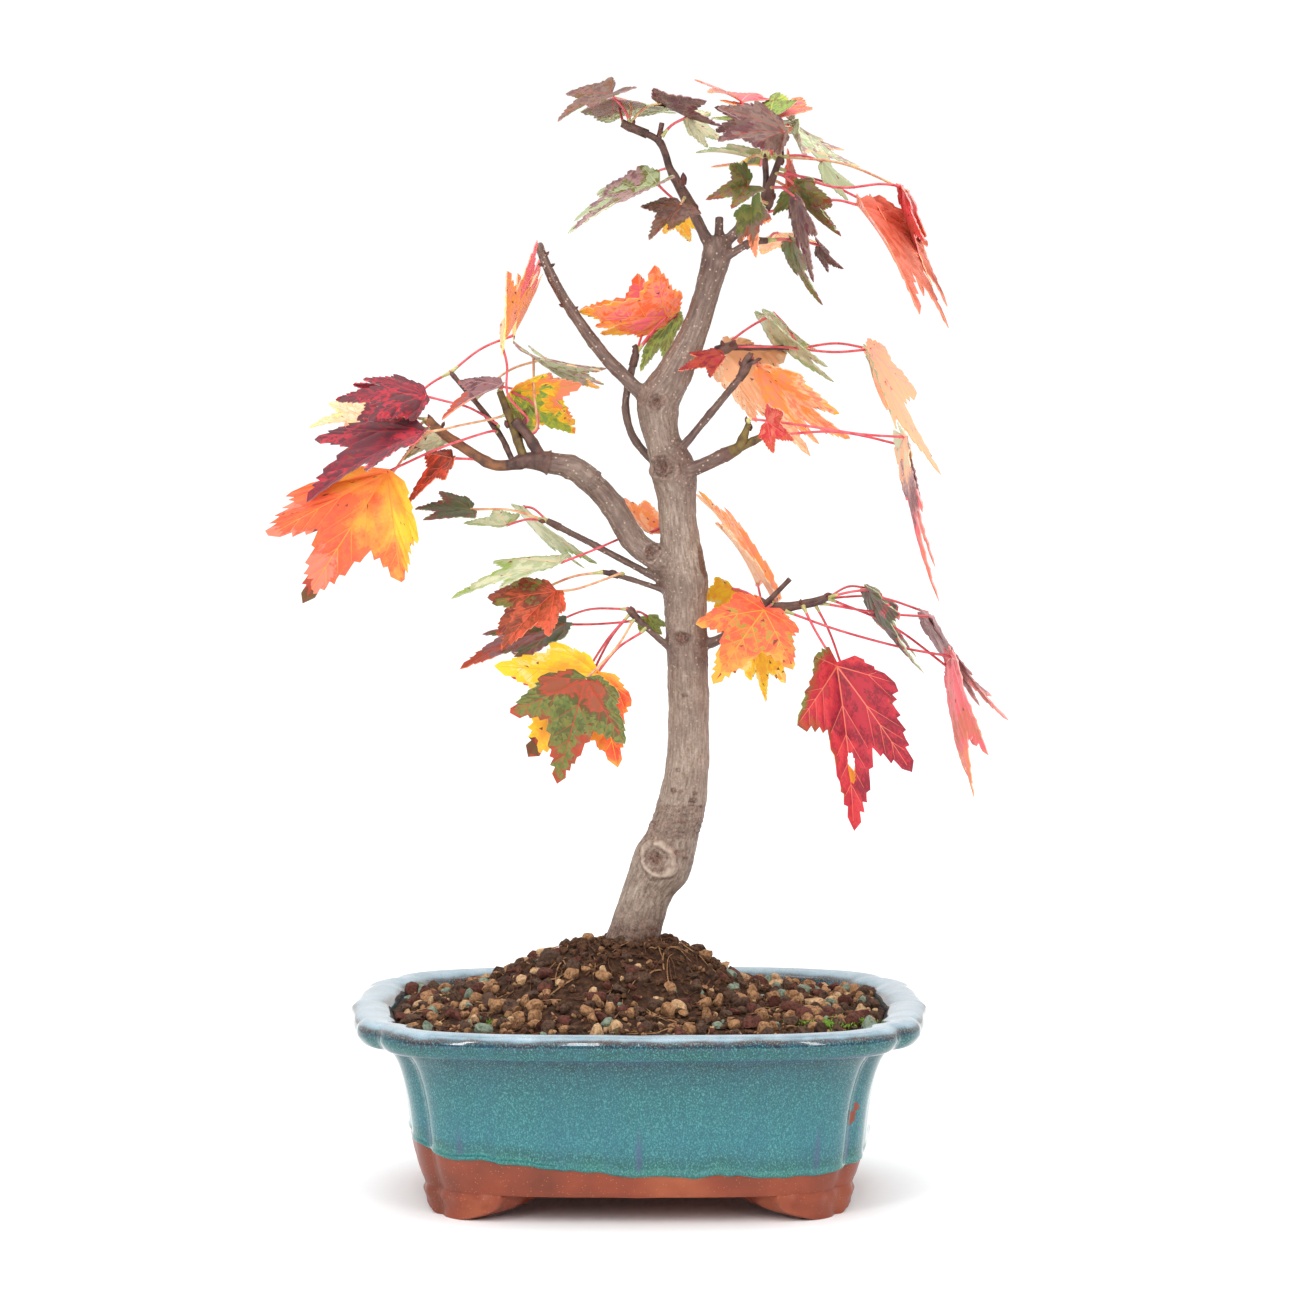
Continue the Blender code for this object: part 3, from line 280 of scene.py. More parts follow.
# Each mass's leaves: the foot of the blade, its tip, how far its upper face is turned from the front,
# and its autumn finish. Then what the picture shows of it, under the names of SEEN.
SEEN = ("tip", "side", "foot", "stalk", "base", "hole")
LEAVES = {
    "foliage_left": (
        ((-90, -18, 265), (-120, -32, 219), 5, "flame", (303, 604), ((267, 537), (402, 584)),
         ((289, 493), (419, 540)), ((488, 432, -5), (440, 448, -12), (400, 466, -17))),
        ((-77, -14, 279), (-119, -30, 256), 62, "wine", (308, 505), ((318, 444), (368, 478)),
         ((372, 424), (418, 450)), ((496, 418, -4), (462, 425, -8), (440, 430, -12))),
        ((-77, 0, 291), (-107, -14, 289), 50, "claret", (338, 402), ((362, 384), (366, 427)),
         ((396, 381), (414, 426)), ((497, 424, -2), (470, 408, -1), (445, 401, 0))),
        ((-96, 14, 280), (-119, 8, 281), 55, "pale_peach", (), ((328, 407), (345, 430))),
        ((-71, 10, 275), (-86, 4, 269), 60, "spring_underside"),
        ((-67, -6, 269), (-83, -12, 252), 50, "rust", (406, 508), ((427, 456), (447, 482)),
         ((444, 452), (454, 470)), ((506, 466, -5), (480, 460, -6))),
        ((-49, -6, 295), (-70, -16, 284), 65, "mauve", (442, 421), ((459, 384), (474, 401)),
         ((486, 380), (496, 392))),
        ((-46, 8, 292), (-21, 18, 284), 20, "lime", (575, 433), ((583, 383), (530, 437)),
         ((544, 372), (508, 412)), ((537, 430, 0), (534, 405, 4))),
        ((-38, 6, 305), (-15, 18, 294), 70, "olive_mauve", (600, 387), ((601, 367), (578, 384)),
         ((514, 338),), ((536, 428, 0), (534, 392, 3))),
        ((-49, -12, 310), (-38, -16, 346), 75, "sunrise", (537, 240), ((504, 271), (536, 268)),
         ((500, 345), (497, 322)), ((528, 420, -4), (508, 395, -8), (507, 365, -11))),
    ),
    "foliage_left_middle": (
        ((-61, 12, 249), (-80, 10, 250), 60, "bottle", (415, 509), ((439, 493), (424, 521)), ((467, 499),)),
        ((-48, 14, 243), (-64, 22, 245), 75, "spring_underside"),
        ((-42, 24, 249), (-15, 30, 229), 80, "spring_underside", (585, 568), ((602, 562), (560, 548)),
         ((517, 503), (530, 506))),
    ),
    "foliage_left_spur": (
        ((-28, -14, 232), (-67, -26, 219), 70, "spring_underside", (452, 601), ((495, 564), (500, 592)),
         ((560, 560), (552, 572)), ((624, 537, 4), (596, 549, -6))),
        ((-30, -18, 222), (-49, -28, 201), 20, "copper", (501, 651), ((494, 605), (550, 638)),
         ((523, 580), (567, 612)), ((622, 573, -2), (580, 588, -12))),
    ),
    "foliage_left_low": (
        ((-19, -24, 191), (-29, -34, 155), 5, "green_and_red", (557, 784), ((508, 714), (626, 745)),
         ((540, 676), (620, 694)), ((633, 621, -2), (616, 648, -14))),
        ((-15, -12, 192), (-40, -20, 163), 10, "gold", (528, 757), ((495, 666), (618, 767)),
         ((557, 643), (632, 700)), ((642, 632, -2), (618, 648, -8))),
        ((-27, 12, 207), (-63, 10, 193), 50, "dusk", (461, 671), ((485, 637), (520, 668)),
         ((548, 622), (567, 642)), ((632, 621, 0), (598, 624, 8))),
        ((3, 12, 210), (8, 17, 202), 30, "spring"),
    ),
    "foliage_centre_left": (
        ((10, 12, 319), (-21, 2, 322), -30, "coral", (578, 311), ((654, 262), (600, 330)),
         ((681, 289), (640, 333))),
        ((14, 22, 319), (1, 26, 298), 60, "spring", (642, 372)),
    ),
    "foliage_right_upper": (
        ((84, 14, 307), (107, 12, 263), 135, "peach", (940, 475), ((921, 393), (899, 424)),
         ((889, 345), (877, 362)), ((724, 347, 8), (780, 347, 9), (832, 352, 12))),
        ((31, 14, 307), (64, 18, 269), 166, "apricot", (811, 456), ((789, 352), (757, 420)),
         ((750, 338), (716, 376))),
        ((47, 12, 319), (71, 24, 295), 75, "spring_underside", (834, 382), (), ((758, 311),),
         ((730, 342, 8), (750, 327, 10))),
        ((30, -10, 306), (14, -20, 302), 40, "scarlet", (678, 370), ((688, 355), (710, 380)),
         ((712, 350), (720, 366))),
    ),
    "foliage_right_centre": (
        ((43, 0, 302), (70, 2, 277), 20, "apricot", (850, 439), ((840, 408), (822, 440)),
         ((803, 369), (770, 400))),
    ),
    "foliage_right_middle": (
        ((95, -24, 278), (110, -26, 219), 75, "pink_mauve", (944, 600), ((931, 505), (921, 512)),
         ((916, 434), (905, 456)), ((748, 419, -13), (800, 425, -18), (860, 434, -22))),
        ((46, -16, 283), (54, -27, 277), 30, "crimson"),
    ),
    "foliage_right_low": (
        ((71, -16, 195), (77, -34, 137), -8, "ruby", (854, 831), ((795, 726), (910, 772)),
         ((812, 657), (891, 683)), ((803, 606, -2), (815, 630, -9)), (), (0.62, 0.015, 0.095, 0.032)),
        ((45, -14, 215), (27, -30, 190), 12, "ember", (713, 685), ((694, 626), (792, 670)),
         ((735, 595), (798, 631)), ((772, 604, -2),)),
        ((113, -4, 197), (122, -14, 147), 68, "rose", (977, 797), ((967, 742), (991, 752)),
         ((950, 664), (963, 660)), ((785, 611, -2), (838, 630, -3), (900, 647, -3))),
        ((107, 10, 210), (132, 4, 175), 80, "dusty_mauve", (1011, 718), ((984, 701), (978, 672)),
         ((938, 614), (934, 628)), ((820, 603, 0), (880, 613, 4))),
        ((83, 0, 221), (104, -8, 189), 64, "bronze", (925, 672), ((905, 612), (884, 622)),
         ((884, 590), (872, 604)), ((828, 597, -1), (850, 592, 0))),
        ((43, -2, 203), (47, -10, 181), 20, "butter", (766, 702), ((786, 682), (752, 680))),
        ((34, 13, 220), (27, 15, 206), 20, "butter"),
        ((49, 14, 215), (22, 24, 254), 72, "apricot", (697, 492), ((716, 528), (722, 512)),
         ((752, 566), (764, 570))),
    ),
    "foliage_crown_left": (
        ((-10, -2, 399), (-29, -20, 389), 66, "umber", (558, 123), ((566, 98), (590, 112)), ((613, 82),),
         ((629, 121, -1), (622, 106, -1))),
        ((-9, 4, 398), (11, 26, 391), 68, "moss_gold", (663, 109), (), (), ((629, 121, 0), (630, 103, 2))),
        ((8, 0, 396), (32, -8, 389), 62, "plum", (722, 125), ((708, 98), (704, 115)),
         ((655, 85), (669, 105)), ((632, 121, -1), (646, 107, 0))),
        ((17, -2, 391), (29, 6, 380), 150, "spring_underside", (724, 140), ((708, 146), (712, 112)),
         ((690, 134), (684, 107)), ((662, 136, 0), (672, 125, -1))),
        ((7, -6, 367), (-25, -16, 350), 76, "dusty_olive", (568, 234), ((600, 200), (625, 206)), (),
         ((684, 206, 0), (670, 196, -3))),
        ((15, -8, 360), (4, -27, 348), 35, "umber", (649, 240), ((640, 208), (668, 232)),
         ((661, 200), (701, 215))),
        ((14, 8, 357), (18, 14, 345), 30, "butter"),
    ),
    "foliage_crown_low": (
        ((52, 2, 348), (65, -4, 325), 55, "olive_red", (823, 305), ((811, 266), (799, 274)),
         ((802, 240), (785, 247)), (), (792, 240)),
        ((50, 14, 349), (58, 30, 342), 40, "pale_peach"),
        ((65, 4, 345), (72, -2, 336), 70, "plum"),
    ),
    "foliage_crown_right": (
        ((78, -6, 360), (109, -16, 316), -68, "salmon", (947, 329), ((917, 261), (914, 316)),
         ((893, 225), (862, 222)), ((764, 213, 0), (800, 204, -3), (834, 200, -5))),
        ((95, 6, 366), (105, 12, 329), 78, "rose", (934, 286), ((915, 222), (929, 238)),
         ((916, 200), (905, 200)), ((834, 187, 2), (880, 184, 4))),
        ((52, -14, 386), (28, -32, 384), 48, "maroon", (718, 141), ((718, 112), (752, 150)),
         ((778, 160), (757, 106)), ((772, 156, -1), (774, 138, -8))),
        ((55, -8, 388), (79, -22, 375), 66, "olive_mauve", (860, 166), ((836, 148), (803, 152)),
         ((800, 116), (785, 128)), ((776, 156, -1), (784, 138, -4))),
        ((47, 16, 390), (32, 38, 394), 60, "spring"),
        ((37, 26, 396), (26, 46, 401), 80, "rose"),
        ((50, 22, 390), (39, 48, 397), 60, "coral"),
        ((40, 20, 376), (21, 26, 380), 84, "spring_underside"),
        ((44, 24, 373), (33, 44, 374), 70, "lime"),
        ((43, -16, 363), (23, -34, 363), 25, "olive_red", (705, 200), ((727, 167), (729, 210)),
         ((741, 164), (762, 192)), ((762, 202, -2), (757, 190, -8)), (747, 186)),
        ((53, 8, 366), (57, 22, 375), 50, "copper"),
        ((66, 12, 375), (79, 26, 365), 110, "spring", (856, 188)),
        ((56, -14, 367), (72, -32, 350), 40, "olive_red", (842, 236), ((838, 200), (806, 204)),
         ((817, 176),)),
        ((38, -22, 358), (42, -30, 342), 50, "green_to_red", (757, 258), (), (), (), (752, 206)),
        ((53, -26, 363), (62, -38, 333), 58, "plum", (815, 282), ((821, 233), (801, 247)),
         ((807, 203), (792, 212)), (), (797, 199)),
    ),
    "foliage_trunk_back": (
        ((4, 16, 240), (-11, 24, 256), 72, "apricot"),
    ),
}

# The leaf that stands behind each larger one, by the same rule as in the part
BACKED_LEAF_LENGTH = 28.0
BACKING_DEPTH = (24.0, 46.0)
BACKING_SCALE = (0.72, 0.88)
BACKING_SPREAD = 3.0
BACKING_RISE = 4
BACKING_TURN = 12
BACKING_FINISH = {"flame": "gold", "wine": "claret", "gold": "flame", "ruby": "ember"}

# Blade: one half's outline as (angle from the midrib, reach, teeth on the flank that follows)
LEAF_HALF = (
    (0, 1.00, 3), (10.5, 0.76, 2), (27, 0.54, 3), (47, 0.86, 2), (61, 0.65, 2), (76, 0.49, 2),
    (96, 0.52, 3), (138, 0.25, 0), (180, 0.04, 0),
)
FLANKS_TO_A_TIP = (2, 5)
FLANKS_FROM_A_TIP = (0, 3, 6)
LOBE_TIPS = ((0, 1.00), (47, 0.86), (96, 0.52))
LEAF_BREADTH = 0.88
TOOTH_LEAN = (0.20, 0.80)  # where on its stretch a tooth peaks, on a flank from a tip and to one
TOOTH_SLOPE = (0.58, 0.42)
TOOTH_SLOPE_HEIGHT = 0.42
NOTCH_DEPTH = 0.25
FLANK_START = 0.24
FLANK_END = 0.80
SIDE_VEINS = {0: (0.24, 0.42, 0.58, 0.72), 47: (0.38, 0.56, 0.72), 96: (0.55,)}  # by lobe
SIDE_VEIN_TURN = 36  # degrees off the main vein
SIDE_VEIN_LENGTHS = (0.86, 0.30)  # share of the way to the margin, and the most
MAIN_VEIN_REACH = 0.94
HOLE_POINTS = 16
BACKING_HOLE = (0.64, 0.0, 0.15, 0.06)  # in the leaf behind a holed one: its middle and half sizes
LEAF_FOLD = 0.16
LEAF_DROOP = 0.12
LEAF_ARCH = (0.10, 0.30)
LEAF_WAVE = (0.008, 0.022)
LEAF_QUILT = (0.016, 0.028)  # how high the skin puffs up between veins, and over what width
LEAF_LEAST_LENGTH = 12.0
LEAF_MARGIN = 0.10  # how broad the margin's own tint is, as a share of the length
BACK_LEAF_GRAIN = 1.7  # leaves behind are meshed this much coarser
BROWN_FLECK = 0.62  # noise over this turns a spot brown
PETIOLE_ARCH = 0.12
STEM_LEAD = 1.5
GAP = 0.3
BOUGH_STEP = 6.0
LEAF_STALK_REACH = 62.0
TWIG_SHARE = 0.5
STEM_SIDES = 14
BROWN_RINGS = {"shoot_tan": 16, "shoot_olive": 4}  # of a stem, before its own finish begins
SHOOT_SIDES = 12
SPUR_SIDES = 10
STALK_SIDES = 8
SHOOT_RADII = (1.1, 1.7)  # of a plain shoot and of a stout one
SHOOT_TAPER = 0.76
PALE_STALKS = 0.25
STALK_SWELLS = ((1.1, 1.6), (0.25, 2.0))  # at its foot and at the blade: how much, over how many rings
STALK_GAP = 1.5  # a stalk that starts nearer to the wood than this needs no added stretch

# Autumn tints, as plain base colours
TINTS = {
    "yellow": "#F9CC33", "yellow_pale": "#F6DC84", "amber": "#F7AE3C", "orange": "#F7923F",
    "orange_red": "#F2673C", "vermilion": "#DF5136", "red": "#C63A3E", "crimson": "#AC2D3A",
    "dark_crimson": "#852431", "wine": "#622732", "pink": "#EE6A72", "rose_pale": "#F3A79E",
    "coral": "#EE5A40", "peach": "#F8B98C", "peach_pale": "#FAD2AE", "salmon": "#F08A66",
    "brick": "#A8452F", "brown_red": "#7E3B2B", "brown": "#6B4A2C", "plum": "#5E3438", "mauve": "#845A5C",
    "mauve_pale": "#AB8584", "olive": "#76733A", "olive_dark": "#56582F", "bottle": "#454C2E",
    "green": "#5E6C36", "green_light": "#8AA24C", "lime": "#B5B83E", "sage": "#A9B287",
    "sage_pale": "#C6CBA6", "golden": "#F8BE38", "sunset": "#F7A13E", "tangerine": "#F57E3E",
    "coral_pink": "#F07A62", "russet": "#C2593C", "russet_dark": "#8F4A31", "taupe": "#7D6157",
    "taupe_dark": "#654842", "clay_pink": "#D6735C", "ochre": "#A9883C",
}
# Finishes: a run of tints, the veins' tint, how patchy they lie, and how far the run goes with
# the way to the margin, to the tip and across the blade
FINISHES = {
    "flame": (
        "golden amber sunset orange tangerine orange_red orange_red coral orange_red coral coral_pink",
        "orange", 0.36, 0.1, 0.85, -0.75),
    "wine": ("wine dark_crimson wine crimson wine plum", "crimson", 0.7, 0.4, 0.0, 0.2),
    "claret": ("dark_crimson wine crimson wine plum wine", "crimson", 0.7, 0.4, 0.1, 0.2),
    "pale_peach": ("peach peach_pale peach yellow_pale peach salmon", "salmon", 0.4, 0.4, 0.1, 0.3),
    "peach": ("russet salmon orange salmon sunset salmon olive", "pink", 0.3, 0.3, -0.3, 0.3),
    "apricot": ("orange salmon orange peach salmon peach amber", "salmon", 0.35, 0.4, 0.3, 0.2),
    "rust": ("brick brown_red brick vermilion brick", "salmon", 0.6, 0.2, 0.8, 0.0),
    "mauve": ("mauve mauve plum mauve brick", "mauve_pale", 0.4, 0.2, 0.7, 0.0),
    "lime": ("olive green_light lime green_light yellow amber orange salmon", "lime", 0.5, 0.25, 0.1, 1.0),
    "olive_mauve": ("sage olive sage mauve_pale olive amber", "mauve_pale", 0.5, 0.6, 0.3, 0.0),
    "sunrise": ("yellow_pale amber orange salmon orange pink", "salmon", 0.4, -0.2, 1.0, -0.3),
    "bottle": ("bottle olive_dark bottle brown_red olive", "olive", 0.5, 0.4, 0.2, 0.0),
    "spring": ("green green_light olive green_light lime", "lime", 0.5, 0.4, 0.1, 0.0),
    "spring_underside": ("sage sage_pale sage green_light sage", "peach", 0.4, 0.3, 0.0, 0.0),
    "copper": ("olive brown_red russet_dark russet brick russet coral", "coral", 0.45, 0.1, 0.0, 0.75),
    "green_and_red": (
        "russet_dark brick brown olive_dark olive green olive_dark olive green olive russet_dark brick",
        "brick", 0.42, 0.4, 0.65, -0.1),
    "gold": (
        "vermilion orange_red tangerine orange sunset amber golden yellow yellow yellow_pale yellow",
        "amber", 0.3, 0.3, 0.1, -0.95),
    "dusk": ("bottle olive_dark brown brown_red mauve brick", "brick", 0.6, 0.1, 0.9, 0.0),
    "coral": ("pink salmon orange_red salmon orange amber", "orange", 0.6, 0.6, 0.1, 0.3),
    "scarlet": ("crimson brick dark_crimson brick dark_crimson", "red", 0.5, 0.4, 0.1, 0.0),
    "crimson": ("clay_pink red russet red", "pink", 0.4, 0.4, 0.1, 0.0),
    "pink_mauve": ("sage_pale peach mauve_pale mauve pink coral_pink", "pink", 0.25, 0.1, 1.0, 0.0),
    "ruby": (
        "olive russet_dark brick crimson red crimson dark_crimson crimson crimson",
        "clay_pink", 0.32, -0.22, 0.1, 0.75),
    "ember": (
        "vermilion orange_red coral orange_red ochre coral orange_red tangerine orange sunset",
        "orange", 0.4, 0.2, 0.75, 0.0),
    "rose": ("red pink pink clay_pink pink salmon", "rose_pale", 0.3, 0.1, 0.9, 0.0),
    "dusty_mauve": ("mauve_pale mauve mauve_pale rose_pale", "mauve", 0.4, 0.2, 0.5, 0.0),
    "bronze": ("olive_dark plum olive_dark bottle crimson sage", "mauve", 0.7, 0.2, 0.7, 0.0),
    "butter": ("yellow amber yellow yellow_pale amber", "amber", 0.5, 0.4, 0.2, 0.0),
    "umber": ("brown taupe taupe_dark taupe brown taupe russet_dark", "brick", 0.5, 0.2, 0.5, 0.2),
    "moss_gold": ("taupe taupe olive sage olive", "brick", 0.4, 0.3, 0.8, 0.0),
    "plum": ("plum taupe_dark taupe wine taupe_dark", "mauve", 0.5, 0.4, 0.1, 0.0),
    "maroon": ("taupe taupe_dark taupe plum taupe_dark", "brick", 0.5, 0.4, 0.1, 0.0),
    "dusty_olive": ("sage olive mauve_pale mauve sage", "sage_pale", 0.5, 0.3, 0.6, 0.0),
    "olive_red": ("green olive_dark olive taupe olive russet_dark", "brick", 0.4, 0.3, 0.5, 0.4),
    "green_to_red": ("green olive olive_dark taupe russet_dark salmon", "olive", 0.3, 0.1, 1.1, 0.0),
    "salmon": ("coral_pink clay_pink russet clay_pink russet brick", "coral", 0.35, 0.1, 0.6, 0.2),
}
WITHERED = {"flame": 0.84, "gold": 0.86}  # how far out the tip has browned
PALER = {  # what each tint turns to on the underside
    "yellow": "yellow_pale", "amber": "peach", "orange": "peach", "orange_red": "salmon", "coral": "salmon",
    "vermilion": "salmon", "red": "rose_pale", "crimson": "pink", "dark_crimson": "mauve", "wine": "mauve",
    "plum": "mauve_pale", "mauve": "mauve_pale", "brown_red": "mauve", "brick": "salmon", "brown": "olive",
    "olive": "sage", "olive_dark": "sage", "bottle": "sage", "green": "sage", "green_light": "sage",
    "lime": "sage_pale", "sage": "sage_pale", "peach": "peach_pale", "pink": "rose_pale", "salmon": "peach",
    "golden": "yellow_pale", "sunset": "peach", "tangerine": "salmon", "coral_pink": "rose_pale",
    "russet": "salmon", "russet_dark": "mauve", "taupe": "mauve_pale", "taupe_dark": "mauve",
    "clay_pink": "salmon", "ochre": "olive",
}

# Twigs and cut stubs read off the picture: places with their depth, and the end radii
TWIGS = (
    (((503, 437, -3), (478, 405, 0), (451, 373, 3)), 1.0, 0.6),
    (((545, 452, -4), (528, 436, -5), (514, 420, -6)), 2.2, 1.7),
    (((738, 374, -8), (745, 362, -9), (751, 354, -10)), 1.3, 1.0),
    (((738, 374, -8), (748, 365, -9), (757, 361, -10)), 1.0, 0.8),
    (((760, 608, 0), (790, 605, -1), (812, 601, -1), (826, 597, -1)), 1.3, 1.0),
    (((763, 210, 0), (766, 185, 2), (765, 159, 4)), 1.5, 1.0),
    (((765, 205, 0), (772, 182, -1), (780, 156, -1)), 1.2, 0.8),
    (((715, 345, 6), (724, 349, 6), (736, 344, 7)), 2.2, 1.5),
    (((634, 360, 7), (636, 350, 7), (634, 345, 7)), 1.2, 0.9),
    (((640, 150, 0), (630, 127, -1), (622, 123, -1)), 1.7, 1.5),
)
# Buds: the place with its depth, which way it points, and its length
BUDS = (
    ((503, 428, -6), (-0.4, 0, 1), 2.4), ((531, 417, -3), (0.2, 0, 1), 2.6),
    ((526, 424, -6), (-0.2, 0, 1), 2.0), ((541, 258, 4), (-0.4, 0, 1), 1.7),
    ((546, 255, 4), (0.7, 0, 0.8), 1.7), ((541, 266, 4), (-0.9, 0, 0.3), 1.6),
    ((551, 266, 4), (0.9, 0, 0.5), 1.7), ((562, 307, 3), (-0.9, 0, 0.5), 1.7),
    ((575, 309, 3), (0.8, 0, 0.6), 1.5), ((634, 353, 7), (0, 0, 1), 2.0),
    ((731, 345, 5), (0.6, -0.3, 0.6), 2.6), ((722, 343, 4), (-0.3, -0.3, 1), 2.2),
    ((757, 360, -10), (0.9, 0, 0.3), 1.8), ((740, 365, -9), (-0.3, 0, 1), 1.8),
    ((744, 419, -12), (0, 0, 1), 1.8), ((753, 430, -12), (0.3, 0, 1), 1.8),
    ((616, 567, -1), (-1, 0, 0.1), 2.4), ((520, 525, -2), (-1, 0, 0.1), 2.2),
    ((634, 613, -1), (-0.5, 0, 1), 2.8), ((770, 606, -2), (0.2, -0.3, 1), 2.4),
    ((826, 595, -1), (1, 0, 0.2), 2.2), ((800, 603, -2), (0.2, -0.2, 1), 1.6),
    ((634, 121, -1), (0.2, 0, 1), 2.0), ((660, 133, -1), (0.5, 0, 1), 2.0),
    ((779, 200, 0), (0.5, 0, 1), 2.4), ((765, 158, 4), (0, 0, 1), 1.8), ((782, 155, -1), (0.2, 0, 1), 1.8),
    ((706, 205, 0), (-0.3, 0, 1), 2.2), ((684, 182, -2), (-0.1, -0.1, 1), 3.4),
    ((690, 199, -1), (-0.6, 0, 1), 1.8), ((430, 418, -6), (-0.5, 0, 1), 1.6),
    ((446, 421, -7), (0.4, -0.3, 1), 1.9), ((751, 237, -3), (0.8, 0, 0.5), 1.6),
    ((793, 168, -1), (0.3, 0.2, 1), 2.0), ((667, 376, 5), (-0.5, 0, 1), 1.4),
    ((683, 392, 6), (0.6, -0.2, 0.5), 2.2),
)


def linear(code):
    """An sRGB hex colour as linear RGB."""
    parts = [int(code[k:k + 2], 16) / 255 for k in (1, 3, 5)]
    return tuple(c / 12.92 if c <= 0.04045 else ((c + 0.055) / 1.055) ** 2.4 for c in parts)


def rgba(colour):
    """A hex code or linear RGB as linear RGBA."""
    return (*(linear(colour) if isinstance(colour, str) else colour), 1.0)


def plug(tree, node, links):
    """Link sockets to a node's inputs, given by name or number."""
    for name, source in dict(links).items():
        tree.links.new(source, node.inputs[name])


def add_node(tree, kind, values, links=(), stops=(), out=0):
    """Add a node with its settings, its links and, on a colour ramp, its stops, and give an output."""
    node = tree.nodes.new("ShaderNode" + kind)
    for name, value in values.items():
        if isinstance(name, int) or name in node.inputs:
            node.inputs[name].default_value = value
        else:
            setattr(node, name, value)
    plug(tree, node, links)
    if stops:
        ramp = node.color_ramp.elements
        while len(ramp) < len(stops):
            ramp.new(0.5)
        for element, (place, colour) in zip(ramp, stops):
            element.position = place
            element.color = rgba(colour)
    return node.outputs[out] if node.outputs else None


def new_material(name, values):
    """A principled material with its plain values set, and its tree and shader."""
    material = bpy.data.materials.new(name)
    material.use_nodes = True
    tree = material.node_tree
    shader = tree.nodes["Principled BSDF"]
    for socket, value in values.items():
        shader.inputs[socket].default_value = value
    return material, tree, shader


def one_grain(name, values, grain, stops, relief):
    """A material whose colour and relief follow the same grain."""
    material, tree, shader = new_material(name, values)
    place = add_node(tree, "TexCoord", {}, out="Object")
    tone = add_node(tree, "TexNoise", grain, {"Vector": place})
    colour = add_node(tree, "ValToRGB", {}, {"Fac": tone}, stops)
    bump = add_node(tree, "Bump", relief, {"Height": tone})
    plug(tree, shader, {"Base Color": colour, "Normal": bump})
    return material


# Settings


def a_colour(name, description, code):
    """A setting for a colour, which starts at a hex code."""
    return FloatVectorProperty(
        name=name, description=description, subtype="COLOR", min=0, max=1, default=linear(code))


def a_length(name, description, low, high, usual):
    """A setting for a length in metres."""
    return FloatProperty(
        name=name, description=description, unit="LENGTH", min=low, max=high, default=usual)


def a_power(name, description, usual):
    """A setting for a lamp's power in watts."""
    return FloatProperty(
        name=name, description=description, subtype="POWER", min=0, max=500, default=usual)


def a_count(name, description, high, usual):
    """A setting for how many there are of something."""
    return IntProperty(name=name, description=description, min=0, max=high, default=usual)


class PotSettings(PropertyGroup):
    # Painted shade: this darker glaze on the upper wall stands for the shadow under the lip's overhang
    glaze_upper_shaded: a_colour("Glaze, upper wall", "Glaze where it ran thin under the lip", "#1E4E55")
    glaze_middle: a_colour("Glaze, wall", "Glaze on the middle of the wall", "#1D6064")
    glaze_lower: a_colour("Glaze, foot of wall", "Glaze where it gathered before it stopped", "#2B6F64")
    clay: a_colour("Clay", "Bare fired clay of the base and feet", "#8A402A")
    glaze_thickness: a_length(
        "Glaze thickness", "How far the glaze stands proud where it ends", 0.0, 0.002, 0.0006)


class SoilSettings(PropertyGroup):
    grains: a_count("Grains", "How many grains of grit lie on the soil", 3000, 1250)
    crumbs: a_count("Crumbs", "How many crumbs of peat lie on the mound", 3000, 1300)
    fibres: a_count("Fibres", "How many root fibres and bits of straw show", 600, 340)
    largest: a_length("Largest grain", "Size of the largest grains", 0.002, 0.01, 0.0084)


class BarkSettings(PropertyGroup):
    cell: a_length("Mesh size", "Cell size of the bark's mesh", 0.0003, 0.003, 0.00052)
    ridge: a_length("Ridge depth", "Depth of the fine ridges that run up the trunk", 0.0, 0.001, 0.00012)
    old: a_colour("Old bark", "Grey-brown bark of the trunk", "#8F7A6A")
    young: a_colour("Young bark", "Dark bark of the boughs and twigs", "#60453C")


class LeafSettings(PropertyGroup):
    grain: a_length("Mesh size", "Size of the faces that carry the tints of a blade", 0.0005, 0.005, 0.00125)
    thickness: a_length("Blade thickness", "Thickness of a blade", 0.0001, 0.002, 0.00034)
    tooth: FloatProperty(
        name="Tooth", description="Height of a tooth on the margin, as a share of the length",
        subtype="FACTOR", min=0, max=0.2, default=0.030)
    stalk_radius: a_length("Stalk radius", "Radius of a leaf stalk", 0.0002, 0.002, 0.00046)


class StageSettings(PropertyGroup):
    floor: a_colour("Floor", "Pale paper that the pot stands on", "#FAFAFA")
    key: a_power("Key light", "Power of the soft box in front on the left", 15.0)
    fill: a_power("Fill light", "Power of the soft box in front on the right", 10.0)
    top: a_power("Top light", "Power of the large soft box overhead", 16.0)


# Shapes and curves that the pieces share


def seen_at(px, py, depth):
    """The place at a depth behind the middle plane that the picture shows at a pixel, in mm."""
    place, aim = Vector(CAMERA_PLACE), Vector(CAMERA_AIM)
    ahead = (aim - place).normalized()
    right = Vector((1, 0, 0))
    up = right.cross(ahead)
    focal = PICTURE_HALF / math.tan(math.radians(CAMERA_ANGLE / 2))
    ray = ahead * focal + right * (px - PICTURE_HALF) + up * (PICTURE_HALF - py)
    return place + ray * ((depth - place.y) / ray.y)


def eased(a, b, c, d, t):
    """The place between b and c, a share t of the way, on a Catmull-Rom curve."""
    slope, bend, twist = c - a, 2 * a - 5 * b + 4 * c - d, 3 * b - 3 * c + d - a
    return 0.5 * (2 * b + slope * t + bend * t * t + twist * t ** 3)


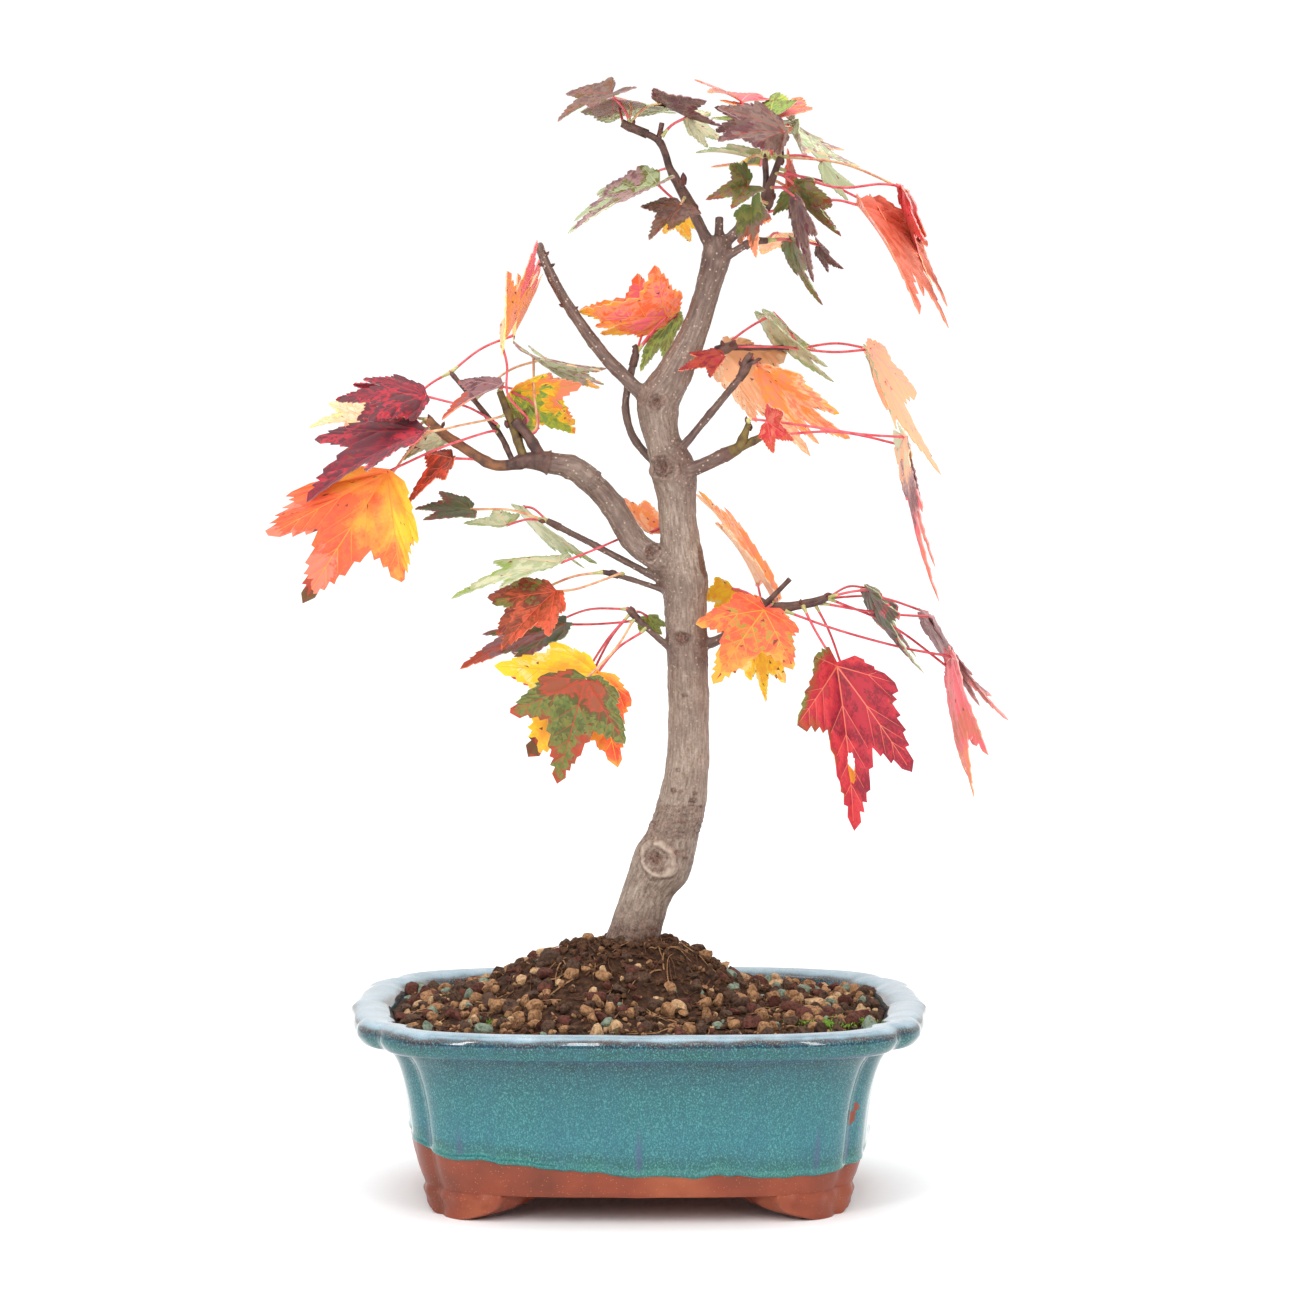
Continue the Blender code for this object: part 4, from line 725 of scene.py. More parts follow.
def smooth_path(points, step):
    """Points along a Catmull-Rom curve through the given ones, about a step apart."""
    points = [Vector(p) for p in points]
    ends = [points[0] * 2 - points[1], *points, points[-1] * 2 - points[-2]]
    path = []
    for a, b, c, d in zip(ends, ends[1:], ends[2:], ends[3:]):
        count = max(1, round((c - b).length / step))
        path += [eased(a, b, c, d, k / count) for k in range(count)]
    return path + [points[-1]]


def ring_faces(levels, count):
    """The faces between rings of points, each ring closed."""
    faces = []
    for level in range(levels - 1):
        for k in range(count):
            a, b = level * count + k, level * count + (k + 1) % count
            faces.append((a, b, b + count, a + count))
    return faces


def bell(x, width, power=2):
    """One at nought, falling off over a width to both sides."""
    return math.exp(-(x / width) ** power)


def clamped(x):
    """A number kept between nought and one."""
    return max(0.0, min(1.0, x))


def carried_axes(path):
    """A path's points, and at each one its direction and two axes carried along without twisting."""
    path = np.array([tuple(p) for p in path], float)
    tangents = np.gradient(path, axis=0)
    tangents /= np.linalg.norm(tangents, axis=1)[:, None]
    across = np.cross(tangents[0], (0.31, 0.82, 0.47))
    sides = []
    for tangent in tangents:
        across = across - tangent * across.dot(tangent)
        across /= np.linalg.norm(across)
        sides.append(across)
    sides = np.array(sides)
    return path, tangents, sides, np.cross(tangents, sides)


def tube(path, radii, sides, swell=None):
    """Vertices and faces of a closed tube along a path."""
    path, _, across, other = carried_axes(path)
    angles = np.arange(sides) * 2 * math.pi / sides
    verts = []
    for k in range(len(path)):
        radius = radii[k] * (swell(k) if swell else 1.0)
        ring = np.cos(angles)[:, None] * across[k] + np.sin(angles)[:, None] * other[k]
        verts.append(path[k] + radius * ring)
    ends = [tuple(reversed(range(sides))), tuple(range((len(path) - 1) * sides, len(path) * sides))]
    return np.concatenate(verts), ring_faces(len(path), sides) + ends


def taper(path, root, tip):
    """Radii that run evenly from one end of a path to the other."""
    last = len(path) - 1
    return [root + (tip - root) * k / last for k in range(last + 1)]


class Heap:
    """Meshes of one kind, joined as they come, in millimetres."""

    def __init__(self):
        self.verts, self.faces, self.finishes, self.names = [], [], [], []
        self.count = 0

    def add(self, verts, faces, finish=0):
        """Take in a mesh. The finish is one name, or a name for each face."""
        self.verts.append(np.asarray(verts, float))
        self.faces += [tuple(v + self.count for v in face) for face in faces]
        self.count += len(verts)
        names = [finish] * len(faces) if isinstance(finish, (str, int)) else list(finish)
        for name in names:
            if name not in self.names:
                self.names.append(name)
        self.finishes += [self.names.index(name) for name in names]

    def build(self, name, materials, sharp=None):
        """One object of all that was taken in, smooth but for edges over an angle."""
        mesh = bpy.data.meshes.new(name)
        mesh.from_pydata((np.concatenate(self.verts) * MM).tolist(), [], self.faces)
        for finish in self.names:
            mesh.materials.append(materials[finish])
        mesh.polygons.foreach_set("material_index", self.finishes)
        mesh.shade_smooth()
        if sharp:
            mesh.set_sharp_from_angle(angle=math.radians(sharp))
        mesh.update()
        piece = bpy.data.objects.new(name, mesh)
        bpy.context.scene.collection.objects.link(piece)
        return piece


def hand_over(piece, slot, *nodes):
    """Hang a finished piece from the root and hide the nodes that it stands for; the slot is not used."""
    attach(piece, "root")
    if nodes:
        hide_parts(*nodes)


# The pot


def stoneware_glazed(pot):
    """Stoneware, dipped in a running blue-green glaze and fired: glassy, mottled in fine streaks
    that ran down the wall, brown and violet where it drew thin on edges."""
    material, tree, shader = new_material(
        "stoneware_glazed", {"Roughness": 0.09, "IOR": 1.52, "Specular IOR Level": 0.28, "Coat Weight": 0.4,
                             "Coat Roughness": 0.02})
    place = add_node(tree, "TexCoord", {}, out="Object")
    height = add_node(tree, "SeparateXYZ", {}, {"Vector": place}, out="Z")
    ripple = add_node(tree, "TexNoise", {"Scale": 60.0, "Detail": 3.0}, {"Vector": place})
    shifted = add_node(tree, "Math", {"operation": "MULTIPLY_ADD", 1: 0.004}, {0: ripple, 2: height})
    share = add_node(tree, "Math", {"operation": "DIVIDE", 1: 0.073}, {0: shifted})
    wall = add_node(tree, "ValToRGB", {}, {"Fac": share},
                    ((0.3, "#226066"), (0.44, "#226A72"), (0.66, tuple(pot.glaze_middle)),
                     # Painted shade: the upper wall and the band under the lip (glaze_upper_shaded, #1B3C44)
                     # are darkened for the lip's shadow
                     (0.8, tuple(pot.glaze_upper_shaded)), (0.845, "#1B3C44"), (0.868, "#3A4464"),
                     (0.888, "#10504F"), (0.93, "#0E4A4A"), (0.95, "#2A2F42"), (0.962, "#43241F"),
                     # Painted reflection: the pale blue-lilac at the top (#8C9FAC, #A9B7C4) stands for the
                     # bright room mirrored in the lip's top
                     (0.974, "#5A4244"), (0.985, "#8C9FAC"), (1.0, "#A9B7C4")))
    # It gathered in a dark and then a green roll above the edge where it stopped
    pool = add_node(tree, "Attribute", {"attribute_name": "pool"}, out="Fac")
    pool = add_node(tree, "Math", {"operation": "MULTIPLY_ADD", 1: 0.5}, {0: ripple, 2: pool})
    rolled = add_node(tree, "ValToRGB", {}, {"Fac": pool},
                      ((0.62, "#175450"), (0.9, "#1B5F56"), (0.98, tuple(pot.glaze_lower))))
    held = add_node(tree, "MapRange", {"From Min": 0.36, "From Max": 0.72, "To Max": 0.85}, {"Value": pool})
    wall = add_node(tree, "Mix", {"data_type": "RGBA"}, {0: held, 6: wall, 7: rolled}, out=2)
    # Speckle half a millimetre across and a little taller, as the crystals ran
    drawn = add_node(tree, "VectorMath", {"operation": "MULTIPLY", 1: (1.0, 1.0, 0.65)}, {0: place})
    speck = add_node(tree, "TexNoise", {"Scale": 2100.0, "Detail": 3.0, "Roughness": 0.7},
                     {"Vector": drawn})
    light = add_node(tree, "ValToRGB", {}, {"Fac": speck},
                     ((0.5, (0.0, 0.0, 0.0)), (0.68, (0.8, 0.8, 0.8))))
    dark = add_node(tree, "ValToRGB", {}, {"Fac": speck},
                    ((0.3, (0.65, 0.65, 0.65)), (0.48, (0.0, 0.0, 0.0))))
    # Runs 8 mm apart and a wall high
    run = add_node(tree, "VectorMath", {"operation": "MULTIPLY", 1: (1.0, 1.0, 0.16)}, {0: place})
    runs = add_node(tree, "TexNoise", {"Scale": 130.0, "Detail": 3.0}, {"Vector": run})
    runs = add_node(tree, "MapRange", {"From Min": 0.4, "From Max": 0.78, "To Max": 0.36}, {"Value": runs})
    thin = add_node(tree, "Attribute", {"attribute_name": "thin"}, out="Fac")
    broken = add_node(tree, "Math", {"operation": "MULTIPLY"}, {0: thin, 1: speck})
    broken = add_node(tree, "MapRange", {"From Min": 0.25, "From Max": 0.55, "To Max": 0.7},
                      {"Value": broken})
    for part, colour in ((light, "#5AA4A4"), (dark, "#163A46"), (runs, "#225A70"), (broken, "#464A74")):
        wall = add_node(tree, "Mix", {"data_type": "RGBA", 7: rgba(colour)}, {0: part, 6: wall}, out=2)
    # The fired surface dips and swells by a few hundredths every 6 mm
    swell = add_node(tree, "TexNoise", {"Scale": 160.0, "Detail": 1.0}, {"Vector": place})
    bump = add_node(tree, "Bump", {"Strength": 0.12, "Distance": 0.0006}, {"Height": swell})
    plug(tree, shader, {"Base Color": wall, "Normal": bump, "Coat Normal": bump})
    return material


def terracotta_fired(pot):
    """Terracotta, wiped smooth and fired bare: warm red-brown with a slight sheen on its swells,
    cloudy from the flame and specked with fine sand."""
    material, tree, shader = new_material("terracotta_fired", {"IOR": 1.45, "Specular IOR Level": 0.4})
    place = add_node(tree, "TexCoord", {}, out="Object")
    cloud = add_node(tree, "TexNoise", {"Scale": 45.0, "Detail": 4.0}, {"Vector": place})
    clay = add_node(tree, "ValToRGB", {}, {"Fac": cloud},
                    ((0.3, "#6E3625"), (0.52, tuple(pot.clay)), (0.75, "#A35637")))
    sand = add_node(tree, "TexVoronoi", {"Scale": 760.0}, {"Vector": place})
    grit = add_node(tree, "ValToRGB", {}, {"Fac": sand}, ((0.08, (0.6, 0.6, 0.6)), (0.17, (0.0, 0.0, 0.0))))
    colour = add_node(tree, "Mix", {"data_type": "RGBA", 7: rgba("#C98A5E")}, {0: grit, 6: clay}, out=2)
    rough = add_node(tree, "MapRange", {"To Min": 0.28, "To Max": 0.5}, {"Value": cloud})
    fine = add_node(tree, "TexNoise", {"Scale": 900.0, "Detail": 3.0}, {"Vector": place})
    bump = add_node(tree, "Bump", {"Strength": 0.25, "Distance": 0.0003}, {"Height": fine})
    plug(tree, shader, {"Base Color": colour, "Roughness": rough, "Normal": bump})
    return material


def rim_outline():
    """The rim all the way round, as shares, and how near each point is to a ridge or crease."""
    quarter, creases = [], []
    for run in RIM_RUNS:
        path = smooth_path([(x * POT_HALF_LENGTH, y * POT_HALF_WIDTH, 0) for x, y in run], RIM_STEP)
        quarter += path[:-1]
        creases.append(path[0])
    quarter.append(path[-1])
    creases += [path[-1], min(path, key=lambda p: abs(p.x - CORNER_RIDGE_X))]
    rows = []
    for p in quarter:
        ridge = max(bell((p - c).length, RIDGE_WIDTH) for c in creases)
        rows.append((p.x / POT_HALF_LENGTH, p.y / POT_HALF_WIDTH, ridge))
    half = rows + [(-x, y, r) for x, y, r in reversed(rows[:-1])]
    whole = half + [(-x, -y, r) for x, y, r in half[1:-1]]
    return np.array(whole)


def glaze_edge(x, y):
    """Height at which the glaze stops in the direction of a place."""
    angle = math.degrees(math.atan2(y / POT_HALF_WIDTH, x / POT_HALF_LENGTH))
    angles, heights = zip(*GLAZE_LINE)
    wobble = noise.noise(Vector((x, y, 3.0)) * 0.16) * 0.7 + noise.noise(Vector((x, y, 9.0)) * 0.5) * 0.22
    return float(np.interp(angle, angles, heights)) + wobble


def pot_wall(heap, thickness):
    """The body from its underside over the lip to its floor, with the glaze standing proud."""
    outline = rim_outline()
    body = smooth_path([(s, z / BODY_UNIT, 0) for s, z in BODY_PROFILE], 0.01)
    body = np.array([tuple(p)[:2] for p in body])
    lip = [tuple(p)[:2] for p in smooth_path([(s * LIP_UNIT, z, 0) for s, z in LIP_PROFILE], 0.7)]
    inside = [tuple(p)[:2] for p in smooth_path([(s * LIP_UNIT, z, 0) for s, z in INSIDE_PROFILE], 4.0)]
    reach = outline[:, :2] * (POT_HALF_LENGTH, POT_HALF_WIDTH)
    edges = np.array([glaze_edge(x * FOOT_OF_WALL, y * FOOT_OF_WALL) for x, y in reach])
    wall_top = BODY_PROFILE[-1][1]
    roll_height, roll_width, roll = GLAZE_ROLL

    rows, thin = [], []
    for k in range(CLAY_ROWS + 1):
        rows.append((POT_BASE_HEIGHT + (edges - POT_BASE_HEIGHT) * k / CLAY_ROWS, np.zeros(len(reach))))
    for k in range(GLAZE_ROWS + 1):
        t = (k / GLAZE_ROWS) ** GLAZE_ROWS_CROWDING
        heights = edges + GLAZE_SET_BACK + (wall_top - edges - GLAZE_SET_BACK) * t
        over = heights - edges
        rolled = np.exp(-((over - roll_height) / roll_width) ** 2) * roll
        proud = thickness * (rolled + np.clip(1 - over / GLAZE_THINS_OVER, 0, 1))
        rows.append((heights, proud * np.clip(over / 0.5, 0, 1)))
    verts, pool, ridge = [], [], outline[:, 2]
    for heights, proud in rows:
        share = np.interp(heights / BODY_UNIT, body[:, 1], body[:, 0]) + proud / GLAZE_REACH
        verts.append(np.column_stack([reach * share[:, None], heights]))
        below = np.clip((THIN_BELOW - heights) / THIN_FADE[0], 0, 1)
        thin.append(ridge * (below * np.clip((heights - edges) / THIN_FADE[1], 0, 1)))
        pool.append(np.clip(1 - (heights - edges) / GLAZE_POOL_HEIGHT, 0, 1))
    for s, z in lip[1:] + inside[1:]:
        verts.append(np.column_stack([reach * s / LIP_UNIT, np.full(len(reach), z)]))
        thin.append(np.zeros(len(reach)))
        pool.append(np.zeros(len(reach)))
    chip = seen_at(*CHIP, -POT_HALF_WIDTH * CHIP_DEPTH)
    glazed_to = len(rows) + len(lip) + GLAZED_ROWS_INSIDE
    count, finishes = len(reach), []
    for level, ring in enumerate(verts[:-1]):
        bare = level < CLAY_ROWS or level > glazed_to
        for spot in ring:
            off = Vector(spot) - chip
            wide, tall = (off.x - CHIP_SLANT * off.z) / CHIP_HALF_WIDTH, off.z / CHIP_HALF_HEIGHT
            chipped = wide ** 2 + tall ** 2 < 1 and off.y < POT_HALF_WIDTH / 4
            finishes.append("terracotta" if bare or chipped else "glaze")
    heap.add(np.concatenate(verts), ring_faces(len(verts), count), finishes)
    underside, floor = verts[0][:, :2], verts[-1][:, :2]
    return {"thin": np.concatenate(thin), "pool": np.concatenate(pool)}, underside, floor


def pot_bottom(heap, underside, floor):
    """The underside and the floor, with the two drain holes between them."""
    turns = np.linspace(0, 2 * math.pi, DRAIN_HOLE_SIDES + 1)[:-1]
    rings = [[(side * DRAIN_HOLE_OFFSET + DRAIN_HOLE_RADIUS * math.cos(a), DRAIN_HOLE_RADIUS * math.sin(a))
              for a in turns] for side in (-1, 1)]
    for outline, height, down in ((underside, POT_BASE_HEIGHT, True), (floor, POT_FLOOR_HEIGHT, False)):
        points = [Vector(p) for p in outline] + [Vector(p) for ring in rings for p in ring]
        edges, start = [], 0
        for size in (len(outline), DRAIN_HOLE_SIDES, DRAIN_HOLE_SIDES):
            edges += [(start + k, start + (k + 1) % size) for k in range(size)]
            start += size
        spots, _, faces, *_ = delaunay_2d_cdt(points, edges, [], 0, 1e-5, True)
        kept = []
        for face in faces:
            middle = sum((spots[v] for v in face), Vector((0, 0))) / 3
            holes = [Vector((side * DRAIN_HOLE_OFFSET, 0)) for side in (-1, 1)]
            hole = any((middle - centre).length < DRAIN_HOLE_RADIUS for centre in holes)
            if not hole and inside_outline(np.array([middle[:]]), np.array(outline))[0]:
                kept.append(tuple(reversed(face)) if down else tuple(face))
        heap.add([(p.x, p.y, height) for p in spots], kept, "terracotta")
    for ring in rings:
        verts = [(x, y, z) for z in (POT_BASE_HEIGHT, POT_FLOOR_HEIGHT) for x, y in ring]
        heap.add(verts, [(a, d, c, b) for a, b, c, d in ring_faces(2, DRAIN_HOLE_SIDES)], "terracotta")


def inside_outline(points, outline):
    """Which points lie inside a closed outline, by counting crossings."""
    x, y = points[:, 0][:, None], points[:, 1][:, None]
    ax, ay = outline[:, 0], outline[:, 1]
    bx, by = np.roll(ax, -1), np.roll(ay, -1)
    crosses = (ay > y) != (by > y)
    slope = np.where(by == ay, 1e-12, by - ay)
    return (crosses & (x < (bx - ax) * (y - ay) / slope + ax)).sum(axis=1) % 2 == 1


def pot_foot(heap, side, body_line):
    """One cloud foot: a ledge under the body, and three swells that draw in to a flat sole."""
    verts = []
    profile = smooth_path([(s * FOOT_UNIT, z, 0) for s, z in FOOT_PROFILE], 0.6)
    stands_out, swell_height, swell_width = FOOT_SWELL
    for p in profile:
        share = p.x / FOOT_UNIT
        for k in range(FOOT_POINTS):
            angle = 2 * math.pi * k / FOOT_POINTS
            reach = share * (1 + FOOT_LOBE_DEPTH * math.cos(FOOT_LOBES * angle))
            swell = FOOT_RIPPLE_DEPTH * math.sin(math.pi * min(1, p.y / FOOT_NECK_HEIGHT)) ** 2
            swell = 1 + swell * math.cos(FOOT_RIPPLES * angle + 0.8)
            x, y = (FOOT_CENTRE[n] + FOOT_DRAW[n] * (1 - share) + FOOT_HALF_SIZE[n] * reach * swell * turn
                    for n, turn in enumerate((math.cos(angle), math.sin(angle))))
            over = stands_out * bell(p.y - swell_height, swell_width)
            over *= 0.8 + 0.4 * math.cos(FOOT_RIPPLES * angle)
            limit = np.interp(math.atan2(y, x), body_line[0], body_line[1]) - 0.4 + over
            within = min(1.0, limit / math.hypot(x, y))
            verts.append((side[0] * x * within, side[1] * y * within, p.y))
    faces = [(a, d, c, b) for a, b, c, d in ring_faces(len(profile), FOOT_POINTS)]
    faces += [tuple(reversed(range(len(verts) - FOOT_POINTS, len(verts)))), tuple(range(FOOT_POINTS))]
    mirrored = side[0] * side[1] < 0
    heap.add(verts, [face[::-1] for face in faces] if mirrored else faces, "terracotta")


class MAPLE_OT_pot(Operator):
    """Glazed pot with its rolled lip, bare base, drain holes and cloud feet"""

    bl_idname = "maple.pot"
    bl_label = "Pot"

    def execute(self, context):
        pot = context.scene.maple_pot
        heap = Heap()
        shades, underside, floor = pot_wall(heap, pot.glaze_thickness / MM)
        pot_bottom(heap, underside, floor)
        corner = sorted((math.atan2(y, x), math.hypot(x, y)) for x, y in underside if x >= 0 and y >= 0)
        for side in ((-1, -1), (-1, 1), (1, -1), (1, 1)):
            pot_foot(heap, side, tuple(zip(*corner)))
        materials = {"glaze": stoneware_glazed(pot), "terracotta": terracotta_fired(pot)}
        piece = heap.build("glazed_pot", materials, sharp=50)
        for name, shade in shades.items():
            values = np.zeros(heap.count)
            values[:len(shade)] = shade
            piece.data.attributes.new(name, "FLOAT", "POINT").data.foreach_set("value", values)
        hand_over(piece, "glaze", "pot")
        return {"FINISHED"}


# The soil and what lies on it


def peat_damp():
    """Peat and composted bark, loose and damp: near black in its pits, with brown fibres."""
    return one_grain(
        "peat_damp", {"Roughness": 0.92, "Specular IOR Level": 0.25},
        {"Scale": 420.0, "Detail": 6.0, "Roughness": 0.7},
        ((0.32, "#1D120C"), (0.50, "#3C2619"), (0.66, "#5C3E29"), (0.80, "#7E5A3C")),
        {"Strength": 0.9, "Distance": 0.0012})


def grit(name, light, dark, scale):
    """Crushed pumice, lava or baked clay, and the crumbs of peat, shredded fibres and moss among it:
    dull, pitted and dusty, with darker pores."""
    return one_grain(
        name, {"Roughness": 0.88, "Specular IOR Level": 0.3},
        {"Scale": scale, "Detail": 5.0, "Roughness": 0.65},
        ((0.35, dark), (0.58, light)), {"Strength": 0.8, "Distance": 0.0006})


def soil_height(x, y):
    """Height of the soil: a low shoulder from the rim, and the mound at the trunk's foot."""
    edge = min(1.0, ((x / POT_HALF_LENGTH) ** 2 + (y / POT_HALF_WIDTH) ** 2) / SOIL_LEVEL_SHARE ** 2)
    distance = math.hypot(x - TRUNK_FOOT[0], y - TRUNK_FOOT[1]) - TRUNK_SEAT_RADIUS
    lean, lean_width = SOIL_MOUND_LEAN
    reach = SOIL_MOUND_RADIUS * (1 + lean * math.tanh((TRUNK_FOOT[0] - x) / lean_width))
    mound = math.exp(-(max(0.0, distance) / reach) ** 2 * SOIL_MOUND_FALL)
    shoulder = SOIL_EDGE_HEIGHT + SOIL_SHOULDER * (1 - edge)
    height = shoulder + (SOIL_CROWN_HEIGHT - shoulder) * mound * (1 - edge)
    lumps = sum(noise.noise(Vector((x, y, layer)) * close) * high for close, high, layer in SOIL_LUMPS)
    return height + lumps * (1 - SOIL_LUMPS_AT_EDGE * edge) - SOIL_SINK


class MAPLE_OT_soil(Operator):
    """Heaped peat with lumps, from the pot's wall to the foot of the trunk"""

    bl_idname = "maple.soil"
    bl_label = "Soil"

    def execute(self, context):
        outline = rim_outline()[::2, :2] * (POT_HALF_LENGTH, POT_HALF_WIDTH)
        edge = outline * SOIL_EDGE_SHARE
        shares = np.linspace(1.0, 0.02, SOIL_RINGS)
        bottom = np.full(len(outline), SOIL_BOTTOM_HEIGHT)
        rings = [np.column_stack([outline * SOIL_BOTTOM_SHARE, bottom])]
        for share in shares:
            spots = np.array(TRUNK_FOOT) + (edge - TRUNK_FOOT) * share
            heights = [min(soil_height(x, y), SOIL_CROWN_HEIGHT + SOIL_LUMP) for x, y in spots]
            rings.append(np.column_stack([spots, heights]))
        count, last = len(outline), (len(rings) - 1) * len(outline)
        faces = [tuple(reversed(range(count))), *ring_faces(len(rings), count)]
        faces.append(tuple(range(last, last + count)))
        heap = Heap()
        heap.add(np.concatenate(rings), faces, "peat")
        piece = heap.build("soil_surface", {"peat": peat_damp()})
        hand_over(piece, "soil", "soil")
        return {"FINISHED"}


def stone_shape(rng, cuts):
    """A broken grain: a ball with random flats, its points in a unit sphere."""
    bm = bmesh.new()
    bmesh.ops.create_icosphere(bm, subdivisions=2, radius=1.0)
    verts = np.array([v.co[:] for v in bm.verts])
    faces = [tuple(v.index for v in f.verts) for f in bm.faces]
    bm.free()
    for _ in range(cuts):
        way = np.array([rng.gauss(0, 1) for _ in range(3)])
        way /= np.linalg.norm(way)
        over = np.maximum(0, verts @ way - rng.uniform(0.45, 0.85))
        verts = verts - over[:, None] * way
    seed = Vector((rng.uniform(0, 99), rng.uniform(0, 99), rng.uniform(0, 99)))
    rough = np.array([noise.noise(Vector(v) * 2.6 + seed) for v in verts])
    return verts * (1 + 0.16 * rough)[:, None], faces


def scattered(rng, wanted, accept):
    """Random places on the soil inside the lip, kept where a rule accepts them."""
    (wide, deep), (reach, depth), cut = SOIL_LIMITS, SOIL_CORNER, SOIL_CORNER_CUT
    places = []
    while len(places) < wanted:
        x, y = (rng.uniform(-half, half) for half in SOIL_FIELD)
        inside = abs(x) < wide and abs(y) < deep and abs(x) / reach + abs(y) / depth < cut
        if inside and accept(x, y):
            places.append((x, y))
    return places


GRIT_KINDS = (
    ("tan", 0.34, "#A67C57", "#5F402A"), ("buff", 0.11, "#C9A67E", "#8A6746"),
    ("lava", 0.19, "#65392D", "#351C17"), ("umber", 0.29, "#5A4132", "#2A1C14"),
    ("grey", 0.07, "#83907E", "#55614F"),
)


def lay_grain(heap, rng, shape, x, y, size, finish, sunk=0.25):
    """Set one grain down on the soil, turned at random and a little sunk."""
    verts, faces = shape
    angle = rng.uniform(0, 6.28)
    axis = Vector((rng.gauss(0, 1), rng.gauss(0, 1), rng.gauss(0, 1))).normalized()
    turn = np.array(Matrix.Rotation(angle, 3, axis))
    squat = np.array((rng.uniform(0.8, 1.15), rng.uniform(0.7, 1.0), rng.uniform(0.6, 0.9)))
    height = soil_height(x, y) + size * (0.6 - sunk)
    heap.add((verts * squat) @ turn.T * size + (x, y, height), faces, finish)


def lay_crumbs(rng, wanted, shapes):
    """Crumbs of peat, thick on the mound."""
    def peaty(x, y):
        away = math.hypot(x - TRUNK_FOOT[0], y - TRUNK_FOOT[1])
        share = np.interp(away, (10, 22, 40, 70), (1.0, 0.6, 0.35, 0.25))
        return away > CRUMB_CLEARANCE and rng.random() < share

    heap = Heap()
    for x, y in scattered(rng, wanted, peaty):
        lay_grain(heap, rng, rng.choice(shapes), x, y, rng.uniform(*CRUMB_SIZES), "crumb", 0.0)
    material = {"crumb": grit("peat_crumb", "#64432C", "#25170F", 1300.0)}
    hand_over(heap.build("peat_crumbs", material, sharp=40), "soil")


def lay_fibres(rng, wanted):
    """Root fibres and straw, lying on the soil and standing a little at the trunk."""
    def shredded(x, y):
        return rng.random() < 0.35 + 0.65 * math.exp(-math.hypot(x, y) / 30)

    heap = Heap()
    for x, y in scattered(rng, wanted, shredded):
        way, length = rng.uniform(0, 6.28), rng.uniform(*FIBRE_LENGTHS)
        near = math.exp(-math.hypot(x - TRUNK_FOOT[0], y - TRUNK_FOOT[1]) / 22)
        path, bend = [], rng.uniform(-0.5, 0.5)
        for t in (k / 6 for k in range(7)):
            ahead = x + math.cos(way + bend * t) * length * t, y + math.sin(way + bend * t) * length * t
            px, py = (max(-half, min(half, c)) for half, c in zip(FIBRE_LIMITS, ahead))
            lift = 0.5 + near * rng.uniform(0.0, 1.6) * 4 * t * (1 - t) + rng.uniform(0, 0.5)
            path.append(Vector((px, py, soil_height(px, py) + lift)))
        path = smooth_path(path, 1.2)
        verts, faces = tube(path, taper(path, rng.uniform(*FIBRE_RADII), FIBRE_END_RADIUS), 5)
        heap.add(verts, faces, rng.choice(("root", "straw")))
    materials = {"root": grit("root_fibre", "#6A4630", "#412819", 700.0),
                 "straw": grit("straw_bit", "#A9805A", "#7A5636", 700.0)}
    hand_over(heap.build("soil_fibres", materials), "soil")


def grow_moss(rng):
    """Tufts of moss, two at the right front and a small one at the left, of narrow leaves."""
    heap = Heap()
    lean, least, most, half_width, keel = MOSS_LEAF
    for middle_x, middle_y, wide, wanted in MOSS:
        for _ in range(wanted):
            x, y = middle_x + rng.gauss(0, wide), middle_y + rng.gauss(0, wide * 0.5)
            foot = Vector((x, y, soil_height(x, y) + rng.uniform(0, 1.2)))
            aside, ahead = rng.uniform(-lean, lean), rng.uniform(-lean, lean)
            tip = foot + Vector((aside, ahead, rng.uniform(least, most)))
            side = (tip - foot).cross(Vector((rng.random(), rng.random(), 0.2))).normalized() * half_width
            middle = foot.lerp(tip, 0.45)
            back = middle + (tip - foot).cross(side).normalized() * keel
            heap.add([foot[:], (middle + side)[:], tip[:], (middle - side)[:], back[:]],
                     [(0, 1, 2, 3), (0, 4, 1), (1, 4, 2), (2, 4, 3), (3, 4, 0)], "moss")
    piece = heap.build("moss_tufts", {"moss": grit("moss_fresh", "#7FA83A", "#4C7224", 500.0)})
    hand_over(piece, "soil")


class MAPLE_OT_grit(Operator):
    """Grit of five kinds, crumbs of peat, root fibres and three tufts of moss on the soil"""

    bl_idname = "maple.grit"
    bl_label = "Grit, fibres and moss"

    def execute(self, context):
        soil = context.scene.maple_soil
        rng = random.Random(SEED + 1)
        shapes = [stone_shape(rng, STONE_CUTS) for _ in range(STONE_SHAPES)]
        heaps = {name: Heap() for name, *_ in GRIT_KINDS}
        weights = [share for _, share, *_ in GRIT_KINDS]

        def gritty(x, y):
            away = math.hypot((x - TRUNK_FOOT[0]) / 1.15, y - TRUNK_FOOT[1])
            return rng.random() < np.interp(away, (14, 30, 52), (0.10, 0.55, 1.0))

        largest = soil.largest / MM / 2
        for x, y in scattered(rng, soil.grains, gritty):
            kind = rng.choices([name for name, *_ in GRIT_KINDS], weights)[0]
            large = rng.random() < LARGE_GRAINS
            size = largest * (rng.uniform(0.55, 1.0) if large else rng.uniform(0.16, 0.5))
            lay_grain(heaps[kind], rng, rng.choice(shapes), x, y, size, kind)
        for name, _, light, dark in GRIT_KINDS:
            material = {name: grit("grit_" + name, light, dark, 900.0)}
            piece = heaps[name].build("grit_" + name, material, sharp=40)
            hand_over(piece, "soil")
        lay_crumbs(rng, soil.crumbs, shapes)
        lay_fibres(rng, soil.fibres)
        grow_moss(rng)
        return {"FINISHED"}


# Trunk and boughs


